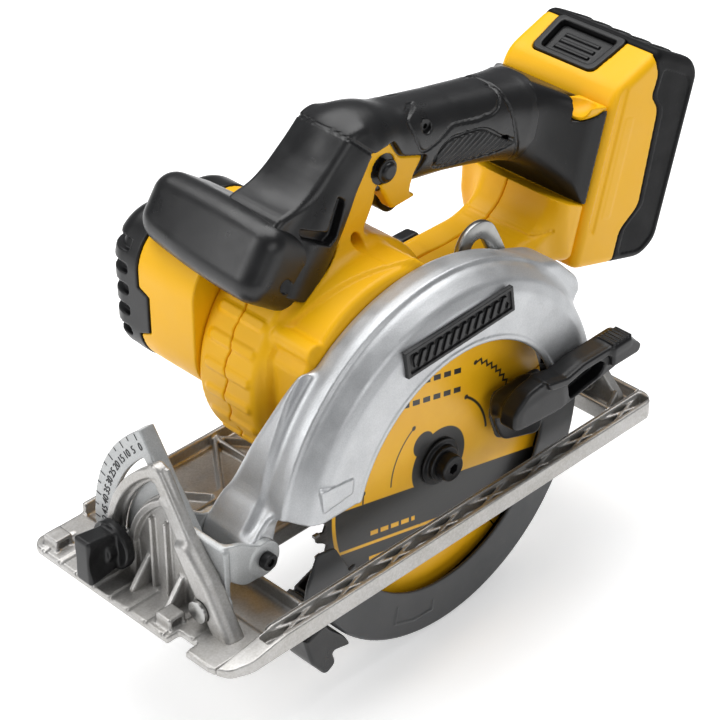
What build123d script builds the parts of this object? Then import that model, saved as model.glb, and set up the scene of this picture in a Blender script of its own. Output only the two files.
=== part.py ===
"""Cordless circular saw, blade on the left, battery on the rear of the handle.

Millimetres. +X is the cutting direction, +Y is the blade side, +Z is up.
The origin is on the sole plane, straight below the middle of the blade at the arbor.
The saw is set for full depth of cut and square cuts, with the lower guard closed.
"""
import math
import os

from build123d import *

# ---- driving dimensions -------------------------------------------------------------
BLADE_R = 82.5            # 165 mm blade
BLADE_PLATE = 1.2
KERF = 1.8
BORE_R = 7.94             # 5/8 inch arbor hole
TEETH = 40
ARBOR_Z = 25.4            # full depth of cut is BLADE_R - ARBOR_Z = 57 mm

SHOE_FRONT, SHOE_REAR = 160.9, -132.2
SHOE_LEFT, SHOE_RIGHT = 28.2, -111.4
SHOE_FLOOR = 3.6
SHOE_WALL = 2.8
SHOE_RIB_TOP = 9.9
SLOT_FRONT, SLOT_REAR = 105.0, -107.0
SLOT_LEFT, SLOT_RIGHT = 16.5, -29.0

PIVOT_Y, PIVOT_Z = -8.0, 14.0        # bevel axis, parallel to X
PIN_R = 3.0
BEVEL_SLOT_R = 58.0
QUADRANT_X = 136.0                   # rear face of the fixed quadrant
QUADRANT_T = 4.0
SCALE_IN, SCALE_OUT = 72.0, 84.5
BEVEL_START = 6.5                    # direction of the clamp bolt at square cuts
BEVEL_HUB_R = 8.4

HINGE_X, HINGE_Z = 112.0, 28.5       # depth axis, parallel to Y
HINGE_PIN_R = 3.5
EAR_T = 3.0
EAR_NEAR, EAR_FAR = -1.0, -38.0
STRAP_R = 180.0                      # mean radius of the depth strap about the hinge
STRAP_W = 28.0
STRAP_Y0, STRAP_Y1 = -21.5, -18.5

GUARD_FACE = 15.0                    # left face of the upper guard
GUARD_BACK = -15.0
GUARD_WALL = 2.4
GUARD_WINDOW_R = 68.5
LOWER_R = 93.4
LOWER_LEFT, LOWER_RIGHT = 8.0, -9.0
LOWER_WALL = 1.8
NOSE_R = 16.0                        # bore of the lower guard on the gear case
LEVER_Y0 = 22.0                      # inner side of the thumb lever's arm
BADGE_LEFT, BADGE_RIGHT = (38, 98), (-34, 104)

HANDLE_Y = -60.0                     # parting plane of the handle shells
WEB_HALF = 17.0                      # half thickness of the yellow webs
GRIP_W, GRIP_H = 19.0, 22.0          # half width and half height of the grip

COLLAR_X, COLLAR_Z, COLLAR_R = 21.0, 78.0, 58.5
COLLAR_LEFT, COLLAR_RIGHT = -36.0, -79.0
MOTOR_X, MOTOR_Z = 34.0, 88.0
BARREL_END = -118.0
CAP_END = -141.0

MODULE = 1.25
SPINDLE_TEETH, IDLER_TEETH, PINION_TEETH = 22, 44, 9
GEAR_Y0, GEAR_Y1 = -33.0, -25.0

BATTERY_TILT = 16.0
BATTERY_X, BATTERY_Z = -120.0, 60.0  # foot of the battery frame, u up along the pack, v back
BATTERY_HALF = 37.5
LATCH_DEEP, LATCH_PRESS = 5.0, 2.5   # depth of the release button and how far it presses
LATCH_Y = -64.5                      # middle of the release button

FRONT_BAR_Y0, FRONT_BAR_Y1 = -120.0, -42.0

CLEAR = 0.3                          # gap between faces of different moving bodies
FIT = 0.05                           # radial running clearance of pins and shafts

PARTS = "parts"
os.makedirs(PARTS, exist_ok=True)


# ---- helpers ------------------------------------------------------------------------
def save(name, *solids):
    """Write one node; several solids become one group."""
    shape = solids[0] if len(solids) == 1 else Compound(children=list(solids))
    export_step(shape, os.path.join(PARTS, name + ".step"))


def box(x0, x1, y0, y1, z0, z1):
    size = (x1 - x0, y1 - y0, z1 - z0)
    return Pos((x0 + x1) / 2, (y0 + y1) / 2, (z0 + z1) / 2) * Box(*size)


def slab(points, y0, y1):
    """Outline in X and Z, thick from y0 to y1."""
    face = Plane.XZ.offset(-y1) * make_face(Polyline(*points, close=True))
    return extrude(face, amount=y1 - y0)


def flat(sketch, y0, y1):
    """A sketch drawn in X and Z, thick from y0 to y1."""
    return extrude(Plane.XZ.offset(-y1) * sketch, amount=y1 - y0)


def plank(points, x0, x1):
    """Outline in Y and Z, thick from x0 to x1."""
    face = Plane.YZ.offset(x0) * make_face(Polyline(*points, close=True))
    return extrude(face, amount=x1 - x0)


def plate(points, z0, z1):
    """Outline in X and Y, thick from z0 to z1."""
    face = Plane.XY.offset(z0) * make_face(Polyline(*points, close=True))
    return extrude(face, amount=z1 - z0)


def rod_y(x, z, radius, y0, y1):
    return Pos(x, (y0 + y1) / 2, z) * Rot(90, 0, 0) * Cylinder(radius, y1 - y0)


def rod_x(y, z, radius, x0, x1):
    return Pos((x0 + x1) / 2, y, z) * Rot(0, 90, 0) * Cylinder(radius, x1 - x0)


def tube_y(x, z, outer, inner, y0, y1):
    return rod_y(x, z, outer, y0, y1) - rod_y(x, z, inner, y0 - 1, y1 + 1)


def hex_y(x, z, across, y0, y1):
    sketch = Pos(x, z) * RegularPolygon(across / math.sqrt(3), 6)
    return flat(sketch, y0, y1)


def polar(cx, cz, radius, degrees):
    turn = math.radians(degrees)
    return (cx + radius * math.cos(turn), cz + radius * math.sin(turn))


def wedge(cx, cz, reach, a0, a1):
    """Fan-shaped outline from angle a0 to a1, big enough to cut a sector."""
    steps = max(2, int((a1 - a0) / 30) + 1)
    fan = [polar(cx, cz, reach, a0 + (a1 - a0) * i / steps) for i in range(steps + 1)]
    return [(cx, cz)] + fan


def turned(profile):
    """Ring about the arbor from an outline of (radius, y) points."""
    face = Plane.XY * make_face(Polyline(*profile, close=True))
    return Pos(0, 0, ARBOR_Z) * revolve(face, Axis.Y)


def ease(shape, edges, radius):
    """Round the edges, and leave the shape as it is where they are too tight."""
    try:
        return fillet(edges, radius)
    except (ValueError, RuntimeError):
        return shape


def pack_point(u, v):
    """Point of the battery frame: u runs up along the pack, v runs back through it."""
    turn = math.radians(BATTERY_TILT)
    x = BATTERY_X - u * math.sin(turn) - v * math.cos(turn)
    z = BATTERY_Z + u * math.cos(turn) - v * math.sin(turn)
    return (x, z)


def pack_slab(points, y0, y1):
    return slab([pack_point(u, v) for u, v in points], y0, y1)


def pack_box(u0, u1, v0, v1, y0, y1):
    return pack_slab([(u0, v0), (u1, v0), (u1, v1), (u0, v1)], y0, y1)


def gear_sketch(teeth, phase):
    """Spur gear with straight tooth flanks; one tooth points along phase degrees."""
    pitch_r = MODULE * teeth / 2
    root, tip = pitch_r - 1.15 * MODULE, pitch_r + 0.8 * MODULE
    pitch = 360.0 / teeth
    points = []
    for i in range(teeth):
        middle = phase + i * pitch
        points.append(polar(0, 0, root, middle - 0.27 * pitch))
        points.append(polar(0, 0, tip, middle - 0.11 * pitch))
        points.append(polar(0, 0, tip, middle + 0.11 * pitch))
        points.append(polar(0, 0, root, middle + 0.27 * pitch))
    return make_face(Polyline(*points, close=True))


# ---- gear train geometry ------------------------------------------------------------
SPINDLE_PITCH = MODULE * SPINDLE_TEETH / 2
IDLER_PITCH = MODULE * IDLER_TEETH / 2
PINION_PITCH = MODULE * PINION_TEETH / 2


def idler_centre():
    """The idler axis is at its two mesh distances from the arbor and the motor."""
    near = SPINDLE_PITCH + IDLER_PITCH
    far = IDLER_PITCH + PINION_PITCH
    dx, dz = MOTOR_X, MOTOR_Z - ARBOR_Z
    span = math.hypot(dx, dz)
    along = (near ** 2 - far ** 2 + span ** 2) / (2 * span)
    across = math.sqrt(near ** 2 - along ** 2)
    x = along * dx / span - across * dz / span
    z = ARBOR_Z + along * dz / span + across * dx / span
    return x, z


IDLER_X, IDLER_Z = idler_centre()
MESH_ONE = math.degrees(math.atan2(IDLER_Z - ARBOR_Z, IDLER_X))
MESH_TWO = math.degrees(math.atan2(MOTOR_Z - IDLER_Z, MOTOR_X - IDLER_X))


# ---- shoe ---------------------------------------------------------------------------
def rib(x0, y0, x1, y1, width, z0, z1):
    """Straight upright rib between two points of the plan."""
    length = math.hypot(x1 - x0, y1 - y0)
    turn = math.degrees(math.atan2(y1 - y0, x1 - x0))
    bar = Box(length, width, z1 - z0)
    return Pos((x0 + x1) / 2, (y0 + y1) / 2, (z0 + z1) / 2) * Rot(0, 0, turn) * bar


def bevel_arc(r0, r1, a0, a1, x0, x1):
    """Part of a ring about the bevel axis; angles run from -Y upwards."""
    ring = rod_x(PIVOT_Y, PIVOT_Z, r1, x0, x1) - rod_x(PIVOT_Y, PIVOT_Z, r0, x0 - 1, x1 + 1)
    fan = [bevel_point(0, 0)]
    steps = max(2, int((a1 - a0) / 30) + 1)
    fan += [bevel_point(3 * r1, a0 + (a1 - a0) * i / steps) for i in range(steps + 1)]
    return ring & plank(fan, x0, x1)


def bevel_point(radius, degrees):
    turn = math.radians(degrees)
    return (PIVOT_Y - radius * math.cos(turn), PIVOT_Z + radius * math.sin(turn))


def shoe_tray():
    """Flat sole with raised walls, the blade slot and the sight notch."""
    corner = 14.0
    outline = [(SHOE_REAR, SHOE_RIGHT + 6), (SHOE_REAR + 6, SHOE_RIGHT),
               (SHOE_FRONT - 4, SHOE_RIGHT), (SHOE_FRONT, SHOE_RIGHT + 4),
               (SHOE_FRONT, SHOE_LEFT - corner), (SHOE_FRONT - 4, SHOE_LEFT - 4),
               (SHOE_FRONT - corner, SHOE_LEFT), (SHOE_REAR + 5, SHOE_LEFT),
               (SHOE_REAR, SHOE_LEFT - 5)]
    tray = plate(outline, 0, SHOE_RIB_TOP)
    well_rear, well_front = SHOE_REAR + SHOE_WALL, SLOT_FRONT + 24
    tray -= box(well_rear, well_front, SHOE_RIGHT + SHOE_WALL, SLOT_RIGHT - SHOE_WALL,
                SHOE_FLOOR, SHOE_RIB_TOP + 1)
    tray -= box(well_rear, SLOT_REAR - SHOE_WALL, SLOT_RIGHT - SHOE_WALL - 1, SLOT_LEFT,
                SHOE_FLOOR, SHOE_RIB_TOP + 1)
    tray -= box(well_rear, SLOT_FRONT + 30, SLOT_LEFT + SHOE_WALL, SHOE_LEFT - SHOE_WALL,
                SHOE_FLOOR, SHOE_RIB_TOP + 1)
    tray -= box(SLOT_FRONT + SHOE_WALL, well_front, SLOT_RIGHT - SHOE_WALL - 1, SLOT_LEFT,
                SHOE_FLOOR, SHOE_RIB_TOP + 1)
    front_step = [(well_front, SHOE_RIB_TOP + 1), (well_front, 4.4), (SHOE_FRONT + 1, 4.0),
                  (SHOE_FRONT + 1, SHOE_RIB_TOP + 1)]
    tray -= slab(front_step, SHOE_RIGHT - 1, SLOT_LEFT + 2)
    tray -= slab([(SHOE_FRONT - 34, SHOE_RIB_TOP + 1), (SHOE_FRONT - 34, SHOE_RIB_TOP),
                  (SHOE_FRONT + 1, 4.0), (SHOE_FRONT + 1, SHOE_RIB_TOP + 1)],
                 SLOT_LEFT + 1, SHOE_LEFT + 1)
    tray -= box(SLOT_REAR, SLOT_FRONT, SLOT_RIGHT, SLOT_LEFT, -1, SHOE_RIB_TOP + 1)
    tray -= box(SHOE_FRONT - 7.5, SHOE_FRONT + 1, -13.4, -1.1, -1, SHOE_RIB_TOP)
    return tray


def shoe_ribs():
    """Crossed ribs with round bosses in the right bay, and the left channel's ribs."""
    ribs = []
    bays = 4
    y0, y1 = SHOE_RIGHT + SHOE_WALL, SLOT_RIGHT - SHOE_WALL
    x0 = SHOE_REAR + SHOE_WALL
    step = (SLOT_FRONT - x0) / bays
    middle = (y0 + y1) / 2
    low = SHOE_RIB_TOP - 1.5
    for i in range(bays):
        a, b = x0 + i * step, x0 + (i + 1) * step
        ribs.append(rib(a, y0, b, y1, 2.0, SHOE_FLOOR - 0.5, low))
        ribs.append(rib(a, y1, b, y0, 2.0, SHOE_FLOOR - 0.5, low))
        ribs.append(rib(a, middle, b, middle, 2.0, SHOE_FLOOR - 0.5, low))
        ribs.append(Pos((a + b) / 2, middle, low / 2 + 0.5) * Cylinder(5.0, low))
        ribs.append(rib(b, y0, b, y1, 2.4, SHOE_FLOOR - 0.5, low))
    cells = 8
    left0, left1 = SLOT_LEFT + SHOE_WALL / 2, SHOE_LEFT - SHOE_WALL / 2
    cell = (SLOT_FRONT + 26 - x0) / cells
    for i in range(cells):
        a, b = x0 + i * cell, x0 + (i + 1) * cell
        ribs.append(rib(a, left0, b, left1, 1.8, SHOE_FLOOR - 0.5, low))
        ribs.append(rib(a, left1, b, left0, 1.8, SHOE_FLOOR - 0.5, low))
    return ribs


def fixed_quadrant():
    """Upright plate at the front with the curved slot that the bevel bolt runs in."""
    x0, x1 = QUADRANT_X, QUADRANT_X + QUADRANT_T
    top = bevel_point(68, 62)
    foot = [(-88.0, 3.0), (-88.0, 8.0), bevel_point(68, 3)]
    arc = [bevel_point(68, a) for a in (15, 27, 38, 50, 62)]
    face = plank(foot + arc + [(top[0] + 7, top[1] - 2), (-19, 30), (2, 3)], x0, x1)
    rail = plank([top, (top[0] + 7.5, top[1] - 1.5), (-15.5, 30), (5, 3), (-4, 3), (-22, 30)],
                 x0, x1 + 2.4)
    rail += plank([(-30.6, 51), (-23.4, 49), (-15.5, 30), (5, 3), (-4, 3), (-22, 30)],
                  x0, x1 + 7)
    rim = bevel_arc(49, 68, -4, 57, x0, x1 + 2.5) - bevel_arc(52.5, 64.5, -2, 62, x0 + 2.5, x1 + 3)
    slot = bevel_arc(BEVEL_SLOT_R - 3.4, BEVEL_SLOT_R + 3.4, BEVEL_START - 4, 60, x0 - 1, x1 + 9)
    hub = rod_x(PIVOT_Y, PIVOT_Z, 8.0, x0, x1 + 3)
    part = face + rail + rim + hub - slot
    part -= rod_x(PIVOT_Y, PIVOT_Z, 6.4, x0 + 8.9, x0 + 40)
    for y in (-50.0, -30.0):
        fin = [(x1 - 1, 3.0), (x1 + 11, 3.0), (x1 - 1, 22.0)]
        part += slab(fin, y - 1.5, y + 1.5)
    for y in (-43.0, -36.5):
        part += box(x1 - 1, x1 + 2.0, y - 0.9, y + 0.9, 3, PIVOT_Z + 26)
    below = box(x0 - 1, x1 + 20, -200, 100, -60, 2)
    return part - below


def rear_lug():
    """Upright gusset at the rear that holds the rear bevel pin."""
    outline = [(14.0, 3.0), (14.0, 9.0), (-2.0, 24.0), (-24.0, 30.0), (-46.0, 30.0),
               (-66.0, 8.0), (-66.0, 3.0)]
    lug = plank(outline, -124.0, -118.0)
    for y in (-28.0, -40.0, -52.0):
        lug -= box(-130, -110, y - 3.5, y + 3.5, 9.5, 19)
    for y in (12.5, -34.0, -60.0):
        lug += slab([(-119, 3), (-110, 3), (-119, 14)], y - 1.2, y + 1.2)
    return lug


def fence_guides():
    """Two bridges on the front plate that a rip-fence bar slides through."""
    guides = []
    for y in (-101.0, -21.0):
        bridge = box(147, 157, y - 5, y + 5, 3.0, 9.6)
        bridge -= box(149, 155, y - 6, y + 6, 4.6, 7.8)
        guides.append(bridge)
    return guides


def make_shoe():
    part = shoe_tray()
    for piece in shoe_ribs():
        part += piece
    part -= box(SLOT_REAR, SLOT_FRONT, SLOT_RIGHT, SLOT_LEFT, -1, 40)
    relief = 6.5
    part -= box(-34, 34, SLOT_RIGHT - 26, SLOT_RIGHT + 1, relief, 40)
    part += fixed_quadrant()
    part += rear_lug()
    for piece in fence_guides():
        part += piece
    for i in range(9):
        y = SHOE_RIGHT + 10 + i * 12.0
        part -= box(SHOE_FRONT - 20, SHOE_FRONT + 1, y - 0.5, y + 0.5, 3.5, 4.3)
    part -= rod_x(PIVOT_Y, PIVOT_Z, 5.6, -129, -123.9)
    part -= rod_x(PIVOT_Y, PIVOT_Z, PIN_R, -130, -110)
    part -= rod_x(PIVOT_Y, PIVOT_Z, PIN_R, QUADRANT_X - 5, QUADRANT_X + 14)
    return part


def make_bevel_pins():
    front = rod_x(PIVOT_Y, PIVOT_Z, PIN_R, 129.5, QUADRANT_X + 9)
    front += rod_x(PIVOT_Y, PIVOT_Z, 5.5, QUADRANT_X + 9, QUADRANT_X + 11.5)
    rear = rod_x(PIVOT_Y, PIVOT_Z, PIN_R, -126, -111.0)
    rear += rod_x(PIVOT_Y, PIVOT_Z, 5.0, -126.5, -124)
    return front, rear


# ---- bevel frame --------------------------------------------------------------------
def make_bevel_bracket():
    """Tilting plate behind the quadrant: scale arc, rail and the U of the depth hinge."""
    x1 = QUADRANT_X - CLEAR
    x0 = x1 - 3.0
    top = 56
    scale = bevel_arc(SCALE_IN, SCALE_OUT, -3, top, x0, x1)
    scale += bevel_arc(BEVEL_SLOT_R - 9, SCALE_OUT, -3, 6, x0, x1)
    inner = bevel_arc(6, BEVEL_SLOT_R + 4, -3, top, x0, x1)
    link = bevel_arc(30, SCALE_OUT, top - 6, top, x0, x1)
    link += bevel_arc(30, SCALE_OUT, top - 3, top, x0 - 6, x1)
    hub = rod_x(PIVOT_Y, PIVOT_Z, BEVEL_HUB_R, x0, x1)
    part = scale + inner + link + hub
    part += plank([(-38, 16), (-1, 16), (-1, 40), (-38, 46)], x0, x1)
    ear = slab([(x1, 16), (x1, 40), (HINGE_X + 6, HINGE_Z + 9), (HINGE_X, HINGE_Z + 9),
                (HINGE_X, HINGE_Z - 9), (HINGE_X + 6, HINGE_Z - 9)], EAR_NEAR - EAR_T, EAR_NEAR)
    ear += rod_y(HINGE_X, HINGE_Z, 9, EAR_NEAR - EAR_T, EAR_NEAR)
    part += ear + Pos(0, EAR_FAR + EAR_T - EAR_NEAR, 0) * ear
    part -= rod_y(HINGE_X, HINGE_Z, HINGE_PIN_R + FIT, -60, 20)
    part -= rod_x(PIVOT_Y, PIVOT_Z, PIN_R + FIT, x0 - 5, x1 + 5)
    bolt_y, bolt_z = bevel_point(BEVEL_SLOT_R, BEVEL_START)
    part -= rod_x(bolt_y, bolt_z, 3.0, x0 - 5, x1 + 5)
    return part


def strap_angle(radius, degrees):
    return polar(HINGE_X, HINGE_Z, radius, 180 - degrees)


def make_depth_strap():
    """Slotted steel strap, curved about the depth hinge, on a foot round the rear pin."""
    ring = rod_y(HINGE_X, HINGE_Z, STRAP_R + STRAP_W / 2, STRAP_Y0, STRAP_Y1)
    ring -= rod_y(HINGE_X, HINGE_Z, STRAP_R - STRAP_W / 2, STRAP_Y0 - 1, STRAP_Y1 + 1)
    tip = 29.0
    fan = wedge(HINGE_X, HINGE_Z, 260, 180 - tip, 184)
    part = ring & slab(fan, STRAP_Y0, STRAP_Y1)
    end = strap_angle(STRAP_R, tip)
    part += rod_y(end[0], end[1], STRAP_W / 2, STRAP_Y0, STRAP_Y1)
    foot_x = -117.7
    part += slab([(foot_x, 13), (-78, 13), (-66, 22), (-66, 30), (-84, 34), (foot_x, 22)],
                 STRAP_Y0, STRAP_Y1)
    part += rod_x(PIVOT_Y, PIVOT_Z, BEVEL_HUB_R, foot_x, foot_x + 3)
    part += box(foot_x, foot_x + 3, STRAP_Y0, PIVOT_Y, 13, 22)
    slot = rod_y(HINGE_X, HINGE_Z, STRAP_R + 5.0, STRAP_Y0 - 1, STRAP_Y1 + 1)
    slot -= rod_y(HINGE_X, HINGE_Z, STRAP_R - 5.0, STRAP_Y0 - 2, STRAP_Y1 + 2)
    slot = slot & slab(wedge(HINGE_X, HINGE_Z, 260, 180 - tip, 179), STRAP_Y0 - 1, STRAP_Y1 + 1)
    slot += rod_y(end[0], end[1], 5.0, STRAP_Y0 - 1, STRAP_Y1 + 1)
    part -= slot
    part -= rod_x(PIVOT_Y, PIVOT_Z, PIN_R + FIT, foot_x - 2, foot_x + 5)
    return part


def make_hinge_bolt():
    shank = rod_y(HINGE_X, HINGE_Z, HINGE_PIN_R, EAR_FAR - 4, EAR_NEAR)
    head = hex_y(HINGE_X, HINGE_Z, 11, EAR_NEAR, EAR_NEAR + 5.0)
    socket = hex_y(HINGE_X, HINGE_Z, 5, EAR_NEAR + 2.0, EAR_NEAR + 6)
    return shank + head - socket


def make_hinge_nut():
    return hex_y(HINGE_X, HINGE_Z, 12, EAR_FAR - 4, EAR_FAR) - rod_y(
        HINGE_X, HINGE_Z, HINGE_PIN_R, EAR_FAR - 6, EAR_FAR + 1)


def make_bevel_bolt():
    y, z = bevel_point(BEVEL_SLOT_R, BEVEL_START)
    x0 = QUADRANT_X - CLEAR - 3.0
    stud = rod_x(y, z, 3.0, x0 - 3, QUADRANT_X + 20)
    return stud + rod_x(y, z, 6.0, x0 - 3, x0)


def make_bevel_washer():
    y, z = bevel_point(BEVEL_SLOT_R, BEVEL_START)
    x0 = QUADRANT_X + QUADRANT_T + 2.5 + CLEAR
    return rod_x(y, z, 9.0, x0, x0 + 1.2) - rod_x(y, z, 3.0, x0 - 1, x0 + 2)


def make_bevel_knob():
    """Round hub with one thick wing, turned by hand on the bevel bolt."""
    y, z = bevel_point(BEVEL_SLOT_R, BEVEL_START)
    x0 = QUADRANT_X + QUADRANT_T + 4.1
    knob = rod_x(y, z, 12.5, x0, x0 + 9)
    knob += rod_x(y, z, 10.0, x0 + 9, x0 + 13)
    wing = Pos(x0 + 13, y, z) * Box(24, 9.0, 29.6)
    wing = ease(wing, wing.edges().filter_by(Axis.X), 3.5)
    knob += wing
    return knob - rod_x(y, z, 3.0 + FIT, x0 - 1, x0 + 13)


# ---- guards -------------------------------------------------------------------------
GUARD_SKIN = [(96.0, GUARD_FACE), (99.6, GUARD_FACE - 2.2), (104.8, 2.0), (105.6, -1.5),
              (104.4, -11.0), (101.5, GUARD_BACK)]


def make_upper_guard():
    """Cast guard: flat left face with the blade window, sloped shoulder, rear wall, arm."""
    inner = [(r - GUARD_WALL, y) for r, y in GUARD_SKIN[1:-1]]
    inside_face = GUARD_FACE - GUARD_WALL
    inside_back = GUARD_BACK + GUARD_WALL
    profile = [(GUARD_WINDOW_R, GUARD_FACE)] + GUARD_SKIN + [(17.0, GUARD_BACK)]
    profile += [(17.0, inside_back), (102.0 - GUARD_WALL, inside_back)]
    profile += list(reversed(inner)) + [(95.0, inside_face), (GUARD_WINDOW_R, inside_face)]
    shell = turned(profile)
    cover = slab(wedge(0, ARBOR_Z, 300, 11, 166), GUARD_BACK - 1, GUARD_FACE + 1)
    back = rod_y(0, ARBOR_Z, 34, GUARD_BACK - 1, inside_back)
    shell = shell & (cover + back)
    shell -= box(40, 200, 4, GUARD_FACE + 1, 0, ARBOR_Z + 18.5)
    shell -= box(-200, -40, 4, GUARD_FACE + 1, 0, ARBOR_Z + 14)
    shell -= box(-60, 60, GUARD_BACK - 2, GUARD_BACK + 4, -60, ARBOR_Z - 15.5)
    shell += guard_arm()
    shell += dust_chute()
    shell -= rod_y(HINGE_X, HINGE_Z, HINGE_PIN_R + FIT, EAR_FAR - 5, 10)
    shell -= rod_y(0, ARBOR_Z, 17.0, GUARD_BACK - 2, inside_back + 1)
    return shell


def guard_arm():
    """Broad plate from the guard's back down to the barrel of the depth hinge."""
    y0, y1 = EAR_FAR + EAR_T + CLEAR, EAR_NEAR - EAR_T - CLEAR
    barrel = rod_y(HINGE_X, HINGE_Z, 8.0, y0, y1)
    slant = plank([(y0 - 1, 46), (y0 - 1, 130), (GUARD_BACK - 4, 130), (GUARD_BACK - 4, 92)],
                  0, 150)
    outer = [(HINGE_X + 5, HINGE_Z + 6), (103, 52), (97, 72), (84, 98), (76, 108)]
    inner = [(70, 103), (80, 90), (92, 68), (97.5, 50), (HINGE_X - 6, HINGE_Z - 5),
             (HINGE_X, HINGE_Z)]
    blade = slab(outer + inner, y0, GUARD_BACK + 1) - slant
    neck = slab([(HINGE_X + 5, HINGE_Z + 6), (105, 46), (98, 46), (HINGE_X - 7, HINGE_Z - 4),
                 (HINGE_X, HINGE_Z)], y0, y1)
    return barrel + blade + neck


def dust_chute():
    """Short spout at the rear of the guard where the dust leaves."""
    spout = slab([(-60, 112), (-92, 96), (-106, 78), (-98, 74), (-84, 88), (-56, 104)],
                 GUARD_BACK - 2.5, GUARD_BACK + 8)
    return spout


def make_lower_guard():
    """Sprung shell round the lower half of the blade, turning on the gear case's nose."""
    back0, back1 = LOWER_RIGHT, LOWER_RIGHT + LOWER_WALL
    profile = [(67.3, LOWER_LEFT), (LOWER_R - 1.5, LOWER_LEFT), (LOWER_R, LOWER_LEFT - 1.5),
               (LOWER_R, back0), (NOSE_R, back0), (NOSE_R, back1), (LOWER_R - LOWER_WALL, back1),
               (LOWER_R - LOWER_WALL, LOWER_LEFT - LOWER_WALL),
               (67.3, LOWER_LEFT - LOWER_WALL)]
    shell = turned(profile)
    cover = slab(wedge(0, ARBOR_Z, 300, 168, 340), LOWER_RIGHT - 1, LOWER_LEFT + 1)
    hub = rod_y(0, ARBOR_Z, 26, LOWER_RIGHT - 1, LOWER_RIGHT + 3)
    shell = shell & (cover + hub)
    shell += slab(LEVER_TAB, LOWER_LEFT - LOWER_WALL, LOWER_LEFT)
    shell += slab(FRONT_CHEEK, LOWER_LEFT - LOWER_WALL, LOWER_LEFT)
    return shell + slab(FRONT_EDGE, back0, LOWER_LEFT)


LEVER_TAB = [(-30, 53), (-28, 40), (-34, 24), (-66, 16), (-70, 25), (-70, 42), (-62, 52)]
FRONT_CHEEK = [(63, 10), (70, 20), (87, 20), (94, 6), (97, -8), (97, -24), (88, -9), (63, -4)]
FRONT_EDGE = [(97, -8), (97, -24), (94.6, -24), (87, -9), (90, -6)]


def make_guard_lever():
    """Black thumb lever of the lower guard: hub plate, riser through the window, arm."""
    hub = [(-30, 52), (-28, 40), (-35, 24), (-62, 15), (-65, 26), (-64, 44), (-50, 52)]
    riser = [(-30, 53), (-28, 42), (-57, 42), (-57, 50), (-50, 53)]
    arm = [(-34, 59), (-24, 52), (-23, 43), (-40, 40), (-62, 38), (-90, 43), (-111, 47),
           (-112, 53), (-103, 61), (-84, 60), (-70, 63), (-60, 57), (-46, 62)]
    lever = slab(hub, LOWER_LEFT, LOWER_LEFT + 2.4)
    lever += slab(riser, LOWER_LEFT, LEVER_Y0 + 3)
    lever += slab(arm, LEVER_Y0, LEVER_Y0 + 5.0)
    thumb = slab([(-92, 46), (-111, 47), (-113, 53), (-104, 62), (-91, 60)],
                 LEVER_Y0, LEVER_Y0 + 11.0)
    return lever + thumb


def make_guard_bumper():
    """Soft lip on the front lower edge of the lower guard."""
    outline = [(94.8, -25), (97.4, -25), (92, -41), (83, -52), (78, -48), (80, -41), (68, -44),
               (72, -36.5), (80, -27.6), (84.5, -21)]
    lip = slab(outline, LOWER_RIGHT + 0.5, LOWER_LEFT - 0.5)
    return lip - rod_y(0, ARBOR_Z, LOWER_R + 0.02, -20, 20)


def make_guard_badge():
    """Blank framed plate on the upper guard's left face."""
    outline = [BADGE_LEFT, BADGE_RIGHT, (BADGE_RIGHT[0] + 3, BADGE_RIGHT[1] + 14),
               (BADGE_LEFT[0] + 3, BADGE_LEFT[1] + 14)]
    return slab(outline, GUARD_FACE, GUARD_FACE + 1.8)


def make_guard_spring():
    """Torsion spring that closes the lower guard, coiled round the gear case's nose."""
    wire = 0.8
    turns = 2.0
    path = Helix(pitch=1.7, height=1.7 * turns / 2, radius=19.5)
    section = Plane(origin=path @ 0, z_dir=path % 0) * Circle(wire)
    coil = sweep(section, path=path, is_frenet=True)
    return Pos(0, LOWER_RIGHT - 1.1, ARBOR_Z) * Rot(90, 0, 0) * coil


# ---- arbor, blade and gears ---------------------------------------------------------
def make_blade():
    """Steel plate with forty gullets, laser-cut slots and the arbor hole."""
    points = []
    pitch = 360.0 / TEETH
    tip, root = BLADE_R - 0.6, BLADE_R - 7.5
    for i in range(TEETH):
        start = i * pitch
        points.append(polar(0, 0, tip, start))
        points.append(polar(0, 0, root + 1.5, start - 0.10 * pitch))
        points.append(polar(0, 0, root, start + 0.18 * pitch))
        points.append(polar(0, 0, root + 2.5, start + 0.42 * pitch))
        points.append(polar(0, 0, tip - 0.8, start + 0.62 * pitch))
    sketch = make_face(Polyline(*points, close=True)) - Circle(BORE_R)
    for i in range(5):
        slot = Pos(*polar(0, 0, 70, i * 72 + 20)) * Rot(0, 0, i * 72 + 20) * Rectangle(16, 0.9)
        hole = Pos(*polar(0, 0, 61, i * 72 + 20)) * Circle(1.8)
        sketch -= slot + hole
    plate_solid = Pos(0, 0, ARBOR_Z) * flat(sketch, -BLADE_PLATE / 2, BLADE_PLATE / 2)
    for tip_solid in make_carbide_tips():
        plate_solid -= tip_solid
    return max(plate_solid.solids(), key=lambda piece: piece.volume)


def make_carbide_tips():
    """One small carbide block on the cutting side of each tooth."""
    tips = []
    for i in range(TEETH):
        turn = i * 360.0 / TEETH
        x, z = polar(0, ARBOR_Z, BLADE_R - 1.6, turn - 0.55)
        tips.append(Pos(x, 0, z) * Rot(0, -turn, 0) * Box(3.2, KERF, 1.4))
    return tips


def make_spindle():
    """Arbor shaft; it carries the spindle gear and clamps the blade."""
    shaft = rod_y(0, ARBOR_Z, 5.0, -40.8, -7.4)
    shaft += rod_y(0, ARBOR_Z, BORE_R - 0.02, -BLADE_PLATE / 2, 1.2)
    shaft += rod_y(0, ARBOR_Z, 6.0, -7.5, -0.5)
    return shaft - rod_y(0, ARBOR_Z, 3.0, -14, 2)


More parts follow.
